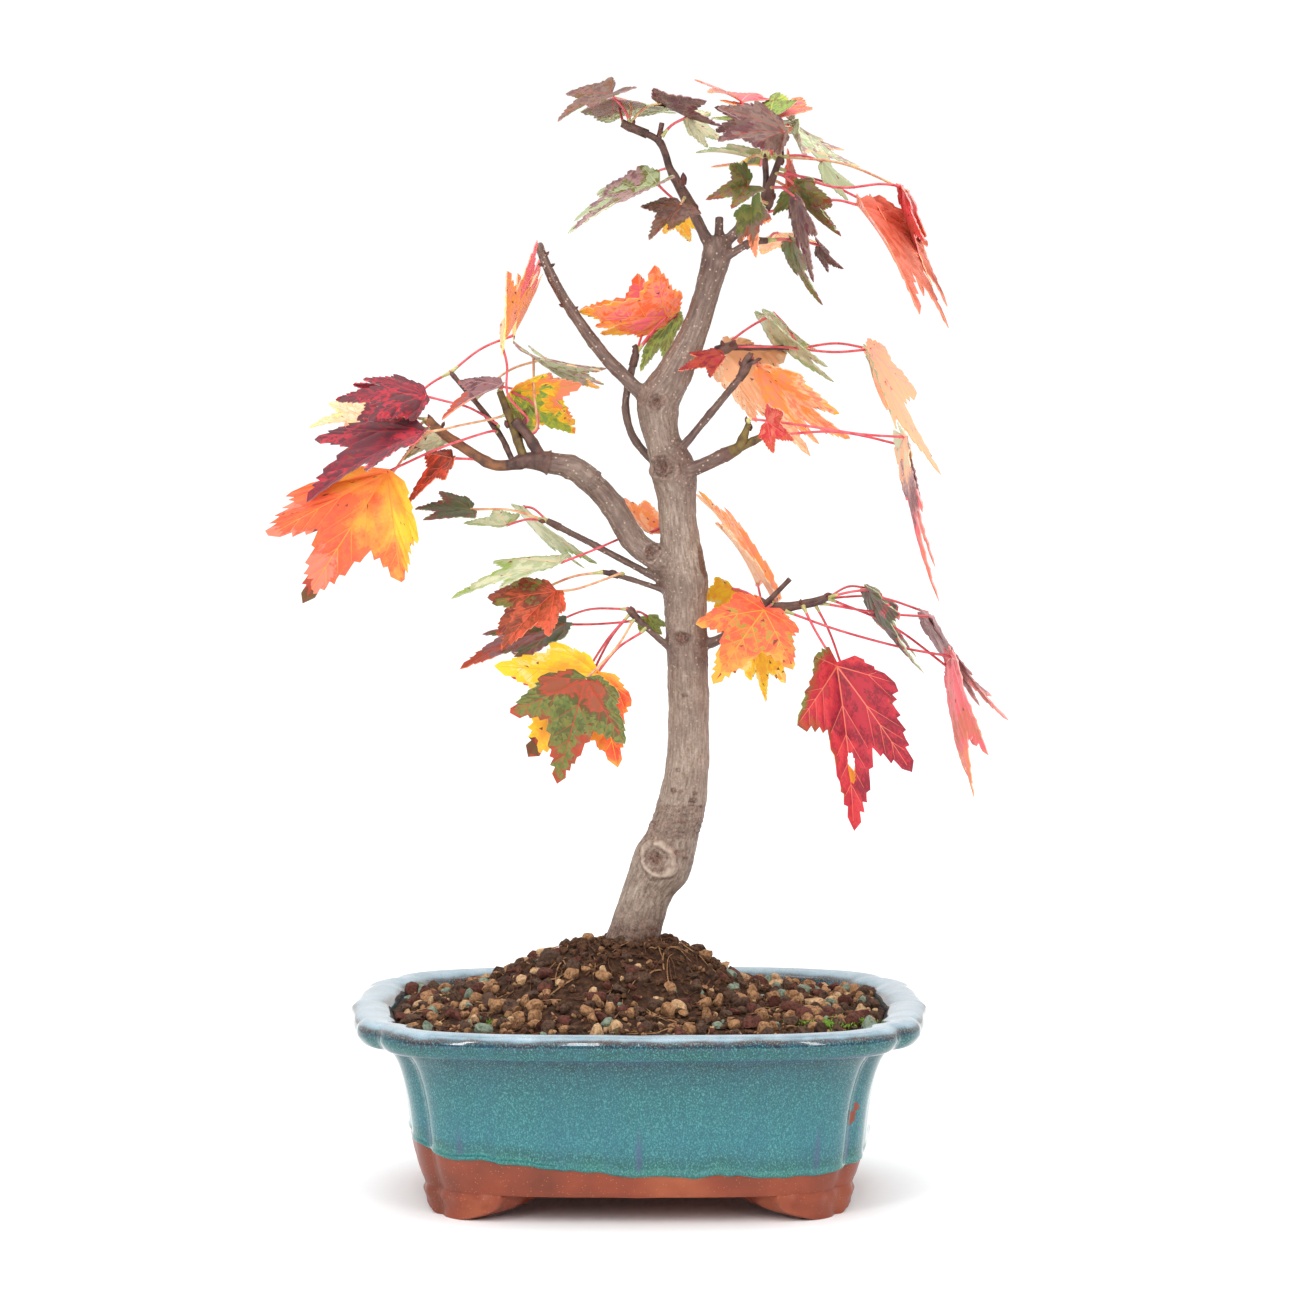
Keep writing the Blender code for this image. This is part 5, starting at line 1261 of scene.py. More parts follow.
def maple_bark():
    """Maple bark, grown: grey and finely ridged on the trunk, dark and smooth on young wood with
    pale breathing pores, with pale lips and dark hearts at old pruning wounds."""
    bark = bpy.context.scene.maple_bark
    material, tree, shader = new_material("maple_bark", {"Roughness": 0.56, "Specular IOR Level": 0.6})
    place = add_node(tree, "TexCoord", {}, out="Object")
    # Ridges stand about 0.8 mm apart and run six times as long, along each limb
    drawn = add_node(tree, "Attribute", {"attribute_name": "grain"}, out="Vector")
    streak = add_node(tree, "TexNoise", {"Scale": 1250.0, "Detail": 5.0, "Roughness": 0.6},
                      {"Vector": drawn})
    old = add_node(tree, "ValToRGB", {}, {"Fac": streak},
                   ((0.3, "#5C493B"), (0.45, tuple(bark.old)), (0.6, "#AB9A8B"), (0.74, "#C8BAAD")))
    # Scurf in specks about a millimetre across
    scurf = add_node(tree, "TexNoise", {"Scale": 1100.0, "Detail": 4.0, "Roughness": 0.7},
                     {"Vector": place})
    specks = add_node(tree, "ValToRGB", {}, {"Fac": scurf},
                      ((0.36, "#5E4B3F"), (0.5, tuple(bark.old)), (0.64, "#B4A597")))
    old = add_node(tree, "Mix", {"data_type": "RGBA", 0: 0.36}, {6: old, 7: specks}, out=2)
    patch = add_node(tree, "TexNoise", {"Scale": 95.0, "Detail": 4.0}, {"Vector": place})
    shade = add_node(tree, "MapRange", {"From Min": 0.48, "From Max": 0.72, "To Max": 0.55},
                     {"Value": patch})
    old = add_node(tree, "Mix", {"data_type": "RGBA", 7: rgba("#6F5D50")}, {0: shade, 6: old}, out=2)
    young = add_node(tree, "ValToRGB", {}, {"Fac": streak},
                     ((0.3, "#49332E"), (0.52, tuple(bark.young)), (0.76, "#8C7064")))
    age = add_node(tree, "Attribute", {"attribute_name": "age"}, out="Fac")
    uneven = add_node(tree, "Math", {"operation": "MULTIPLY_ADD", 1: 0.5, 2: -0.25}, {0: patch})
    aged = add_node(tree, "Math", {"operation": "ADD", "use_clamp": True}, {0: age, 1: uneven})
    colour = add_node(tree, "Mix", {"data_type": "RGBA"}, {0: aged, 6: old, 7: young}, out=2)
    # Breathing pores 2 mm apart, most of them on young wood
    pores = add_node(tree, "TexVoronoi", {"Scale": 500.0, "Randomness": 1.0}, {"Vector": place})
    dot = add_node(tree, "ValToRGB", {}, {"Fac": pores},
                   ((0.11, (0.85, 0.85, 0.85)), (0.21, (0.0, 0.0, 0.0))))
    many = add_node(tree, "MapRange", {"To Min": 0.4, "To Max": 1.0}, {"Value": aged})
    dot = add_node(tree, "Math", {"operation": "MULTIPLY"}, {0: dot, 1: many})
    colour = add_node(tree, "Mix", {"data_type": "RGBA", 7: rgba("#CDB59F")}, {0: dot, 6: colour}, out=2)
    lips = add_node(tree, "Attribute", {"attribute_name": "callus"}, out="Fac")
    colour = add_node(tree, "Mix", {"data_type": "RGBA", 7: rgba("#BBA695")}, {0: lips, 6: colour}, out=2)
    wound = add_node(tree, "Attribute", {"attribute_name": "wound"}, out="Fac")
    heart = add_node(tree, "ValToRGB", {}, {"Fac": scurf},
                     ((0.38, "#24150F"), (0.5, "#57382A"), (0.64, "#936452")))
    colour = add_node(tree, "Mix", {"data_type": "RGBA"}, {0: wound, 6: colour, 7: heart}, out=2)
    fine = add_node(tree, "TexNoise", {"Scale": 1500.0, "Detail": 3.0}, {"Vector": drawn})
    both = add_node(tree, "Math", {"operation": "ADD"}, {0: fine, 1: streak})
    bump = add_node(tree, "Bump", {"Strength": 0.55, "Distance": 0.0004}, {"Height": both})
    plug(tree, shader, {"Base Color": colour, "Normal": bump})
    return material


def trunk_depth(height):
    """How far behind the middle plane the trunk is at a height."""
    rise = (height - TRUNK_CUT_HEIGHT) / (TRUNK_UPRIGHT_HEIGHT - TRUNK_CUT_HEIGHT)
    return TRUNK_LEAN_DEPTH * max(0.0, 1 - rise) ** 1.5


def trunk_path(steps):
    """Middles and radii up the trunk."""
    points = [(x, trunk_depth(z), z, width / 2) for z, x, width in TRUNK_STATIONS]
    path, radii = [], []
    for k in range(len(points) - 1):
        before, here = points[max(0, k - 1)], points[k]
        after, beyond = points[k + 1], points[min(len(points) - 1, k + 2)]
        for step in range(steps):
            spot = [eased(*four, step / steps) for four in zip(before, here, after, beyond)]
            path.append(Vector(spot[:3]))
            radii.append(spot[3])
    path.append(Vector(points[-1][:3]))
    radii.append(points[-1][3])
    return path, radii


def knotted(rng, spacing, height):
    """A swelling at each node of a shoot, for a tube whose rings are a millimetre apart."""
    start = rng.uniform(2, spacing)
    return lambda k: 1 + height * math.exp(-(((k - start + spacing / 2) % spacing - spacing / 2) / 1.1) ** 2)


def raise_bark(piece, limbs, ridge):
    """Raise the bark's ridges, nodes, wire marks and wounds, and note where they are."""
    spots = [(p, r, a) for path, radii, ages, *_ in limbs for p, r, a in zip(path, radii, ages)]
    trunk = list(zip(limbs[0][0], limbs[0][1]))
    axes, runs = [], []
    for number, (path, *_) in enumerate(limbs):
        points, *sides = carried_axes(path)
        axes += [[Vector(axis) for axis in trio] for trio in zip(*sides)]
        lengths = np.linalg.norm(np.diff(points, axis=0), axis=1)
        runs += list(np.concatenate([[0], np.cumsum(lengths)]) + LIMB_SPACING * number)
    tree = KDTree(len(spots))
    for k, (p, *_) in enumerate(spots):
        middle, girth = wood_at(trunk, p)
        if k < len(trunk) or (p - middle).length > girth * 0.95:
            tree.insert(p, k)
    tree.balance()
    scars = []
    for px, py, front, radius, kind in SCARS:
        guess = seen_at(px, py, 0.0)
        heart = tree.find(guess)[0]
        place = seen_at(px, py, heart.y - front)
        reach = (SPLIT_REACH if kind == "split" else SCAR_REACH) * radius
        scars.append((place, (place - heart).normalized(), radius, kind, reach ** 2))
    mesh = piece.data
    count = len(mesh.vertices)
    normals = np.empty(count * 3)
    mesh.vertices.foreach_get("normal", normals)
    normals = normals.reshape(-1, 3)
    age, wound, callus = np.zeros(count), np.zeros(count), np.zeros(count)
    moved, grain = np.empty((count, 3)), np.empty((count, 3))
    swing, rate = WIRE_WAVE
    for k, vert in enumerate(mesh.vertices):
        p = vert.co / MM
        _, index, _ = tree.find(p)
        heart, radius, years = spots[index]
        way, across, other = axes[index]
        off = p - heart
        flat = Vector((off.dot(across), off.dot(other), GRAIN_DRAW * (runs[index] + off.dot(way))))
        grain[k] = flat * MM
        slim = min(1.0, radius / RIDGED_RADIUS)
        lift = ridge * sum(high * noise.noise(flat * close) for high, close in BARK_RIDGES)
        lift *= 0.35 + 0.65 * slim
        lift += 0.34 * slim * noise.noise(p * 0.16) + 0.10 * noise.noise(p * 0.7)
        if radius > WIRED_RADIUS:
            for height, depth in WIRE_MARKS:
                slope = height + swing * math.sin((p.x + p.y) * rate + height) + noise.noise(p * 0.3)
                shown = max(0.0, noise.noise(p * 0.22 + Vector((height, 0, 0))) + 0.35)
                band = bell(p.z - slope, WIRE_HALF_WIDTH) * shown
                lift -= WIRE_DEPTH * depth * band
                wound[k] = max(wound[k], WIRE_SHADE * band)
        for place, axis, size, kind, reach in scars:
            if (p - place).length_squared < reach:
                raised, dark, pale = scar_relief(p, place, axis, size, kind)
                lift += raised
                wound[k] = max(wound[k], dark)
                callus[k] = max(callus[k], pale)
        if radius > STAINED_RADIUS:
            stained = clamped((TRUNK_STAIN_HEIGHT - p.z) / STAIN_FADE) * (0.7 + 0.5 * noise.noise(p * 0.5))
            blotch = clamped((WRINKLED_BAND[1] - p.z) / BLOTCH_FADE) * max(0.0, noise.noise(p * 0.55) - 0.05)
            low, high = (level + 1.2 * noise.noise(Vector((p.x, p.y, level)) * 0.2)
                         for level in WRINKLED_BAND)
            dark = max(0.0, min(1.0, (p.z - low) * 2.5, (high - p.z) * 2.5))
            fold = noise.noise(Vector((p.x * 0.16, p.y * 0.16, p.z * 0.75)))
            crease = max(0.0, 1 - abs(fold) * 5) ** 2
            bulge = noise.noise(Vector((p.x * 0.2, p.y * 0.2, p.z * 1.3)))
            lift += dark * (0.36 * bulge - 0.1 - 0.3 * crease)
            wound[k] = max(wound[k], stained, 0.9 * blotch, 0.36 * dark, 1.1 * dark * crease)
        age[k] = years
        moved[k] = np.array(p) + normals[k] * lift
    moved[:, 2] = np.maximum(moved[:, 2], TRUNK_CUT_HEIGHT)
    mesh.vertices.foreach_set("co", (moved * MM).ravel())
    age = spread(mesh, age, AGE_ROUNDS)
    for name, values in (("age", age), ("wound", wound), ("callus", callus)):
        shades = mesh.attributes.new(name, "FLOAT", "POINT").data
        shades.foreach_set("value", np.clip(values, 0, 1) if name != "age" else values)
    mesh.attributes.new("grain", "FLOAT_VECTOR", "POINT").data.foreach_set("vector", grain.ravel())
    mesh.shade_smooth()
    mesh.update()


class MAPLE_OT_trunk(Operator):
    """Trunk and boughs grown together, with ridged bark, nodes and healed pruning wounds"""

    bl_idname = "maple.trunk"
    bl_label = "Trunk and boughs"

    def execute(self, context):
        bark = context.scene.maple_bark
        rng = random.Random(SEED + 2)
        limbs = []
        path, radii = trunk_path(6)
        ages = [float(np.interp(p.z, *TRUNK_AGES)) for p in path]
        limbs.append((path, radii, ages, TRUNK_SIDES, None))
        for points, root, tip, age in BOUGHS.values():
            path = smooth_path(points, 1.0)
            lead = (path[1] - path[0]).normalized()
            path = [path[0] - lead * BOUGH_SINK, path[0] - lead * (BOUGH_SINK / 2)] + path
            ages = list(np.linspace(age - 0.1, min(1.0, age + 0.25), len(path)))
            swell = knotted(rng, *NODES["bough"])
            limbs.append((path, taper(path, root, tip), ages, BOUGH_SIDES, swell))
        heap = Heap()
        for path, radii, ages, sides, swell in limbs:
            verts, faces = tube(path, radii, sides, swell)
            heap.add(verts, faces, "bark")
        piece = heap.build("trunk_and_boughs", {"bark": maple_bark()})
        grow_together(piece, bark.cell)
        raise_bark(piece, limbs, bark.ridge / MM)
        hand_over(piece, "bark", "trunk", *BOUGHS)
        return {"FINISHED"}


def scar_relief(p, place, axis, size, kind):
    """How far one scar lifts the bark at a point, and how dark and how pale it leaves it there."""
    away = p - place
    depth = away.dot(axis)
    if depth < -1.5 * size and kind != "split":
        return 0.0, 0.0, 0.0
    aside = (away - axis * depth).length / size
    if kind in ("callus", "knot"):
        pale, brown, swell = (1.1, 0.0, 1.0) if kind == "callus" else (0.3, 0.62, 1.5)
        aside *= 1 + 0.42 * noise.noise(away * (1.1 / size) + place)
        outer, inner, groove = bell(aside - 0.80, 0.15), bell(aside - 0.46, 0.11), bell(aside - 0.63, 0.06)
        pit, torn, disc = bell(aside, 0.34, 4), 0.5 + noise.noise(p * 0.9), brown * bell(aside, 0.76, 6)
        lift = swell * size * (0.15 * outer + 0.10 * inner - 0.16 * pit - 0.05 * groove)
        lift += 0.10 * noise.noise(away * 1.6) * (outer + inner)
        if kind == "callus":
            rim = bell(aside - 1.04, 0.07)
            lift -= 0.05 * size * rim
            disc = 0.8 * rim * (0.5 + noise.noise(p * 0.4))
        dark = max(pit, 1.3 * groove * torn, 0.9 * inner * torn, disc)
        return lift, dark, pale * outer * (0.55 + noise.noise(p * 0.7))
    if kind in ("wound", "mark"):
        aside = math.hypot(aside, 0.9 * away.z / size)
        soft = bell(aside, 0.80, 6)
        deep, dark = (0.20, 0.95) if kind == "wound" else (0.08, 0.8 + 0.6 * noise.noise(p * 1.3))
        lift = size * (0.10 * bell(aside - 1.0, 0.22) - deep * soft) + 0.30 * soft * noise.noise(p * 1.7)
        return lift, soft * dark, 0.0
    if kind == "split":
        aside = math.hypot(away.x, away.y, 0.36 * away.z) / size
        core = bell(aside, 0.85, 6)
        lift = size * (0.20 * bell(aside - 0.95, 0.2) - 0.14 * core)
        return lift, core * (0.8 + 0.4 * noise.noise(p * 1.1)), 0.0
    lift = 0.42 * size * bell(aside, 0.6) + 0.08 * size * math.cos(aside * size * 5.0) * bell(aside, 1.0)
    return lift, 0.0, 0.25 * bell(aside, 1.0)


def spread(mesh, values, rounds):
    """Values on a mesh's points, evened out with their neighbours'."""
    ends = np.empty(len(mesh.edges) * 2, np.int32)
    mesh.edges.foreach_get("vertices", ends)
    a, b = ends.reshape(-1, 2).T
    count = np.bincount(np.concatenate([a, b]), minlength=len(values))
    for _ in range(rounds):
        total = np.bincount(a, values[b], len(values)) + np.bincount(b, values[a], len(values))
        values = 0.5 * values + 0.5 * total / count
    return values


def grow_together(piece, cell):
    """Fuse overlapping limbs to one skin and soften the collars between them."""
    fuse = piece.modifiers.new("fuse", "REMESH")
    fuse.mode = "VOXEL"
    fuse.voxel_size = cell
    soften = piece.modifiers.new("soften", "SMOOTH")
    soften.factor = 0.5
    soften.iterations = 5
    mesh = bpy.data.meshes.new_from_object(piece.evaluated_get(bpy.context.evaluated_depsgraph_get()))
    # A pocket between limbs shrinks to a speck of no size, which goes
    bm = bmesh.new()
    bm.from_mesh(mesh)
    specks = [v for v in bm.verts if all(edge.calc_length() < SPECK for edge in v.link_edges)]
    bmesh.ops.delete(bm, geom=specks, context="VERTS")
    bm.to_mesh(mesh)
    bm.free()
    material = piece.data.materials[0]
    piece.modifiers.clear()
    piece.data = mesh
    mesh.materials.clear()
    mesh.materials.append(material)


# Twigs, buds, stalks and leaves


def twig_wood(name, light, dark):
    """Young maple wood, buds and leaf stalks, one to three years grown: smooth, mottled dark and light."""
    return one_grain(
        name, {"Roughness": 0.5, "Specular IOR Level": 0.4}, {"Scale": 330.0, "Detail": 4.0},
        ((0.34, dark), (0.62, light)), {"Strength": 0.4, "Distance": 0.0003})


def leaf_tint(name):
    """Maple leaf in autumn, grown: thin, waxy and softly veined, in one plain tint or between two."""
    colour = np.mean([linear(TINTS[tint]) for tint in name.split("-")], axis=0)
    material, tree, shader = new_material(
        "maple_leaf_" + name,
        {"Base Color": rgba(colour), "Roughness": 0.48, "Specular IOR Level": 0.34, "IOR": 1.42})
    place = add_node(tree, "TexCoord", {}, out="Object")
    # The net of the finest veins stands a little over 1 mm apart
    net = add_node(tree, "TexVoronoi", {"Scale": 800.0, "feature": "DISTANCE_TO_EDGE"}, {"Vector": place})
    bump = add_node(tree, "Bump", {"Strength": 0.22, "Distance": 0.0002}, {"Height": net})
    plug(tree, shader, {"Normal": bump})
    return material


def leaf_frame(base, tip, turn):
    """The blade's own axes: along the midrib, across it, and out of its upper face."""
    along = (tip - base).normalized()
    front = Vector((0, -1, 0))
    face = (front - along * front.dot(along)).normalized()
    across = along.cross(face)
    angle = math.radians(turn)
    normal = face * math.cos(angle) + across * math.sin(angle)
    return along, normal.cross(along), normal


def polar(angle, reach):
    """A place on the flat blade, by its angle from the midrib and its reach from the foot."""
    angle = math.radians(angle)
    return np.array((reach * math.cos(angle), LEAF_BREADTH * reach * math.sin(angle)))


def toothed_outline(rng, tooth):
    """The margin of a blade as seen from above, in shares of its length, with forward teeth."""
    sides = []
    for side in (1, -1):
        corners = [(polar(a, r * rng.uniform(0.97, 1.03) if 0 < a < 140 else r), n) for a, r, n in LEAF_HALF]
        margin = []
        for k in range(len(corners) - 1):
            (start, teeth), (end, _) = corners[k], corners[k + 1]
            to_tip = k in FLANKS_TO_A_TIP
            run = end - start
            out = np.array((run[1], -run[0])) / np.linalg.norm(run)
            first = FLANK_START if k in FLANKS_FROM_A_TIP else 0.0
            last = FLANK_END if to_tip else 1.0
            margin.append(start)
            for n in range(teeth):
                a, b = (first + (last - first) * (n + t) / teeth for t in (0, 1))
                height = tooth * rng.uniform(0.65, 1.25)
                peak = start + run * (a + (b - a) * TOOTH_LEAN[to_tip]) + out * height
                slope = start + run * (a + (b - a) * TOOTH_SLOPE[to_tip]) + out * height * TOOTH_SLOPE_HEIGHT
                margin += [slope, peak] if to_tip else [peak, slope]
                if n < teeth - 1:
                    margin.append(start + run * b - out * height * NOTCH_DEPTH)
        margin.append(corners[-1][0])
        sides.append([np.array((p[0], side * p[1])) for p in margin])
    right, left = sides
    return np.array(right + list(reversed(left[1:-1])))


def leaf_veins(outline):
    """Main and side veins as (start, end, half width at each end), in shares of the length."""
    veins = []
    share_to_edge, longest = SIDE_VEIN_LENGTHS
    for angle, reach in LOBE_TIPS:
        for side in ((1,) if angle == 0 else (1, -1)):
            tip = polar(angle, reach) * (1, side)
            veins.append((np.zeros(2), tip * MAIN_VEIN_REACH, 0.0074 if angle < 90 else 0.0054, 0.0020))
            way = tip / np.linalg.norm(tip)
            for share in SIDE_VEINS[angle]:
                for bend in (1, -1):
                    turn = math.radians(SIDE_VEIN_TURN * bend)
                    ray = np.array((way[0] * math.cos(turn) - way[1] * math.sin(turn),
                                    way[0] * math.sin(turn) + way[1] * math.cos(turn)))
                    start = tip * share
                    length = min(share_to_edge * ray_to_edge(start, ray, outline), longest)
                    veins.append((start, start + ray * length, 0.0029, 0.0012))
    return veins


def ray_to_edge(start, ray, outline):
    """How far it is from a place along a ray to the outline."""
    a, b = outline, np.roll(outline, -1, axis=0)
    edge = b - a
    cross = ray[0] * edge[:, 1] - ray[1] * edge[:, 0]
    cross = np.where(abs(cross) < 1e-12, 1e-12, cross)
    away = a - start
    t = (away[:, 0] * edge[:, 1] - away[:, 1] * edge[:, 0]) / cross
    s = (away[:, 0] * ray[1] - away[:, 1] * ray[0]) / cross
    hits = t[(t > 1e-6) & (s >= 0) & (s <= 1)]
    return float(hits.min()) if len(hits) else 0.1


def distance_to(points, start, end):
    """Each point's distance to a stretch and how far along it that is."""
    run = end - start
    t = np.clip(((points - start) @ run) / (run @ run), 0, 1)
    return np.linalg.norm(points - start - t[:, None] * run, axis=1), t


def blade_pattern(rng, length, grain, tooth, hole):
    """A flat blade cut along its margin and veins: points, triangles, and which of them are vein."""
    outline = toothed_outline(rng, tooth)
    veins = leaf_veins(outline)
    spacing = grain / length
    points = [tuple(p) for p in outline]
    edges = [(k, (k + 1) % len(outline)) for k in range(len(outline))]
    for start, end, root, tip in veins:
        run = end - start
        size = np.linalg.norm(run)
        side = np.array((-run[1], run[0])) / size
        steps = max(2, int(size / spacing / 2.2))
        for flank in (1, -1):
            first = len(points)
            for k in range(steps + 1):
                t = k / steps
                points.append(tuple(start + run * t + side * flank * (root + (tip - root) * t)))
            edges += [(first + k, first + k + 1) for k in range(steps)]
    if hole:
        first = len(points)
        for k in range(HOLE_POINTS):
            angle = 2 * math.pi * k / HOLE_POINTS
            points.append((hole[0] + hole[2] * math.cos(angle) * rng.uniform(0.85, 1.1),
                           hole[1] + hole[3] * math.sin(angle) * rng.uniform(0.85, 1.1)))
        edges += [(first + k, first + (k + 1) % HOLE_POINTS) for k in range(HOLE_POINTS)]
    rows = np.arange(-0.35, 1.02, spacing * 0.87)
    grid = np.array([(u + rng.uniform(-0.2, 0.2) * spacing,
                      v + (k % 2) * spacing / 2 + rng.uniform(-0.2, 0.2) * spacing)
                     for k, u in enumerate(rows) for v in np.arange(-0.72, 0.72, spacing)])
    near = inside_outline(grid, outline)
    for a, b in zip(outline, np.roll(outline, -1, axis=0)):
        near &= distance_to(grid, a, b)[0] > spacing * 0.42
    for start, end, root, tip in veins:
        away, t = distance_to(grid, start, end)
        near &= away > root + (tip - root) * t + spacing * 0.35
    points += [tuple(p) for p in grid[near]]
    spots, _, faces, *_ = delaunay_2d_cdt([Vector(p) for p in points], edges, [], 0, 1e-5, False)
    flat = np.array([s[:] for s in spots])
    faces = np.array([f for f in faces if len(f) == 3])
    middles = flat[faces].mean(axis=1)
    kept = inside_outline(middles, outline)
    if hole:
        kept &= (((middles - hole[:2]) / hole[2:]) ** 2).sum(axis=1) > 1.0
    faces, middles = faces[kept], middles[kept]
    used = np.unique(faces)
    renumber = np.full(len(flat), -1)
    renumber[used] = np.arange(len(used))
    flat, faces = flat[used], renumber[faces]
    vein = np.zeros(len(faces), bool)
    valley = np.full(len(flat), 9.0)
    for start, end, root, tip in veins:
        away, t = distance_to(middles, start, end)
        vein |= away < root + (tip - root) * t
        valley = np.minimum(valley, distance_to(flat, start, end)[0])
    return flat, faces, middles, vein, valley, outline


def lobe_targets(leaf, shape):
    """Where each lobe's tip goes, from the foot of the blade, by the rule or by the picture."""
    base, tip, turn = leaf
    along, across, normal = leaf_frame(base, tip, turn)
    length = (tip - base).length
    targets = {}
    for angle, reach in LOBE_TIPS:
        for side in ((1,) if angle == 0 else (1, -1)):
            ahead, aside = polar(angle, reach) * (1, side)
            rise = LEAF_FOLD * abs(aside) - LEAF_DROOP * max(0.0, ahead) ** 2
            targets[angle * side] = length * (along * ahead + across * aside + normal * rise)
    start = base
    if "like" in shape:
        _, leading, lead_length = lobe_targets(*shape["like"])
        for angle, goal in leading.items():
            if angle in targets:
                targets[angle].x = goal.x * length / lead_length
                targets[angle].z = goal.z * length / lead_length
    if "base" in shape:
        start = seen_at(*shape["base"], base.y)
    if "tip" in shape:
        targets[0] = seen_at(*shape["tip"], base.y + targets[0].y) - start
    for key, angle in (("side", 47), ("foot", 96)):
        places = shape.get(key, ())
        usual = {side: start + targets[angle * side] for side in (1, -1)}

        def fitted(order):
            return [(side, seen_at(*place, usual[side].y)) for side, place in zip(order, places)]

        def misfit(order):
            return sum((goal - usual[side]).length for side, goal in fitted(order))

        for side, goal in fitted(min(((1, -1), (-1, 1)), key=misfit)):
            targets[angle * side] = goal - start
    targets[180] = -along * 0.11 * length
    return start, targets, length


def blade_places(flat, valley, targets, normal, length, rng):
    """Lift the flat blade into the air: bent to its lobes, arched, quilted and waved."""
    stops = [-180, -96, -47, 0, 47, 96, 180]
    flats = {}
    for angle, reach in LOBE_TIPS:
        flats[-angle] = polar(angle, reach) * (1, -1)
        flats[angle] = polar(angle, reach)
    flats[180] = flats[-180] = np.array((-0.2, 0.0))
    goals = {k: np.array(v[:]) for k, v in targets.items()}
    goals[-180] = goals[180]
    bearing = np.degrees(np.arctan2(flat[:, 1], flat[:, 0]))
    bounds = [math.degrees(math.atan2(flats[s][1], flats[s][0])) for s in stops]
    bounds[0], bounds[-1] = -180.0, 180.0
    places = np.zeros((len(flat), 3))
    for k in range(len(stops) - 1):
        here = (bearing >= bounds[k]) & (bearing <= bounds[k + 1])
        basis = np.column_stack([flats[stops[k]], flats[stops[k + 1]]])
        shares = flat[here] @ np.linalg.inv(basis).T
        places[here] = shares[:, :1] * goals[stops[k]] + shares[:, 1:] * goals[stops[k + 1]]
    reach = np.linalg.norm(flat, axis=1)
    arch = rng.uniform(*LEAF_ARCH)
    wave = rng.uniform(*LEAF_WAVE)
    phase, rate = rng.uniform(0, 6.28), rng.choice((5, 6, 7))
    puff = LEAF_QUILT[0] * (1 - np.exp(-valley / LEAF_QUILT[1]))
    lift = arch * reach * (1 - reach) * (1 + 0.3 * flat[:, 0])
    lift += wave * reach ** 2 * np.sin(np.radians(bearing) * rate + phase)
    lift += puff
    return places + (lift * length)[:, None] * np.array(normal[:])


def add_leaf(heap, leaf, finish, shape, rng, settings, fine):
    """One blade with its two skins and its rim, tinted face by face."""
    start, targets, length = lobe_targets(leaf, shape)
    grain = settings.grain / MM * (1.0 if fine else BACK_LEAF_GRAIN)
    flat, faces, middles, vein, valley, outline = blade_pattern(
        rng, max(length, LEAF_LEAST_LENGTH), grain, settings.tooth, shape.get("hole"))
    normal = (targets[0].cross(targets[47]) - targets[0].cross(targets[-47])).normalized()
    if normal.dot(leaf_frame(*leaf)[2]) < 0:
        normal = -normal
    places = blade_places(flat, valley, targets, normal, length, rng) + np.array(start[:])

    tints, vein_tint, patchy, to_margin, to_tip, to_side = FINISHES[finish]
    tints = tints.split()
    seed = Vector((rng.uniform(0, 50), rng.uniform(0, 50), rng.uniform(0, 50)))
    edge = np.full(len(middles), 9.0)
    for a, b in zip(outline, np.roll(outline, -1, axis=0)):
        edge = np.minimum(edge, distance_to(middles, a, b)[0])
    inner = edge / (edge + LEAF_MARGIN)
    upper, lower = [], []
    for k, (u, v) in enumerate(middles):
        spot = Vector((u, v, 0)) * 4.5 + seed
        value = 0.5 + to_margin * (0.5 - 1.5 * inner[k]) + to_tip * (u - 0.35) + to_side * v
        value += patchy * (noise.noise(spot) + 0.45 * noise.noise(spot * 3.1)) + 0.05 * rng.uniform(-1, 1)
        level = max(0.0, min(len(tints) - 1.0, value * len(tints) - 0.5))
        ends = sorted((tints[int(level)], tints[min(int(level) + 1, len(tints) - 1)]))
        halfway = abs(level % 1 - 0.5) < 1 / 6 and ends[0] != ends[1]
        tint = "-".join(ends) if halfway else tints[round(level)]
        if vein[k]:
            tint = vein_tint
        elif noise.noise(spot * 9.0) > BROWN_FLECK:
            tint = "brown_red"
        if finish in WITHERED and u > WITHERED[finish] + 0.12 * noise.noise(spot * 2):
            blotch = noise.noise(spot * 5) + 1.5 * (u - 0.9)
            tint = "brick" if blotch < -0.05 else "brown_red" if blotch < 0.15 else "brown"
        upper.append(tint)
        plain = tint.split("-")[0]
        lower.append(PALER.get(plain, plain))
    count = len(places)
    corners = places[faces]
    face_normals = np.cross(corners[:, 1] - corners[:, 0], corners[:, 2] - corners[:, 0])
    if face_normals.sum(axis=0) @ np.array(normal[:]) < 0:
        faces = faces[:, ::-1]
        face_normals = -face_normals
    normals = np.zeros((count, 3))
    for k in range(3):
        np.add.at(normals, faces[:, k], face_normals)
    size = np.linalg.norm(normals, axis=1)[:, None]
    normals /= np.where(size > 0, size, 1)
    under = places - normals * settings.thickness / MM
    sides = {}
    for k, (a, b, c) in enumerate(faces):
        for edge_pair in ((a, b), (b, c), (c, a)):
            sides[edge_pair] = k
    rim, rim_tints = [], []
    for (a, b), k in sides.items():
        if (b, a) not in sides:
            rim.append((a, a + count, b + count, b))
            rim_tints.append(lower[k])
    heap.add(np.concatenate([places, under]),
             [tuple(f) for f in faces] + [tuple(f[::-1] + count) for f in faces] + rim,
             upper + lower + rim_tints)
    return start


def wood_at(lines, place):
    """The middle of the wood nearest to a place, and its radius there."""
    return min(lines, key=lambda line: (line[0] - place).length_squared)


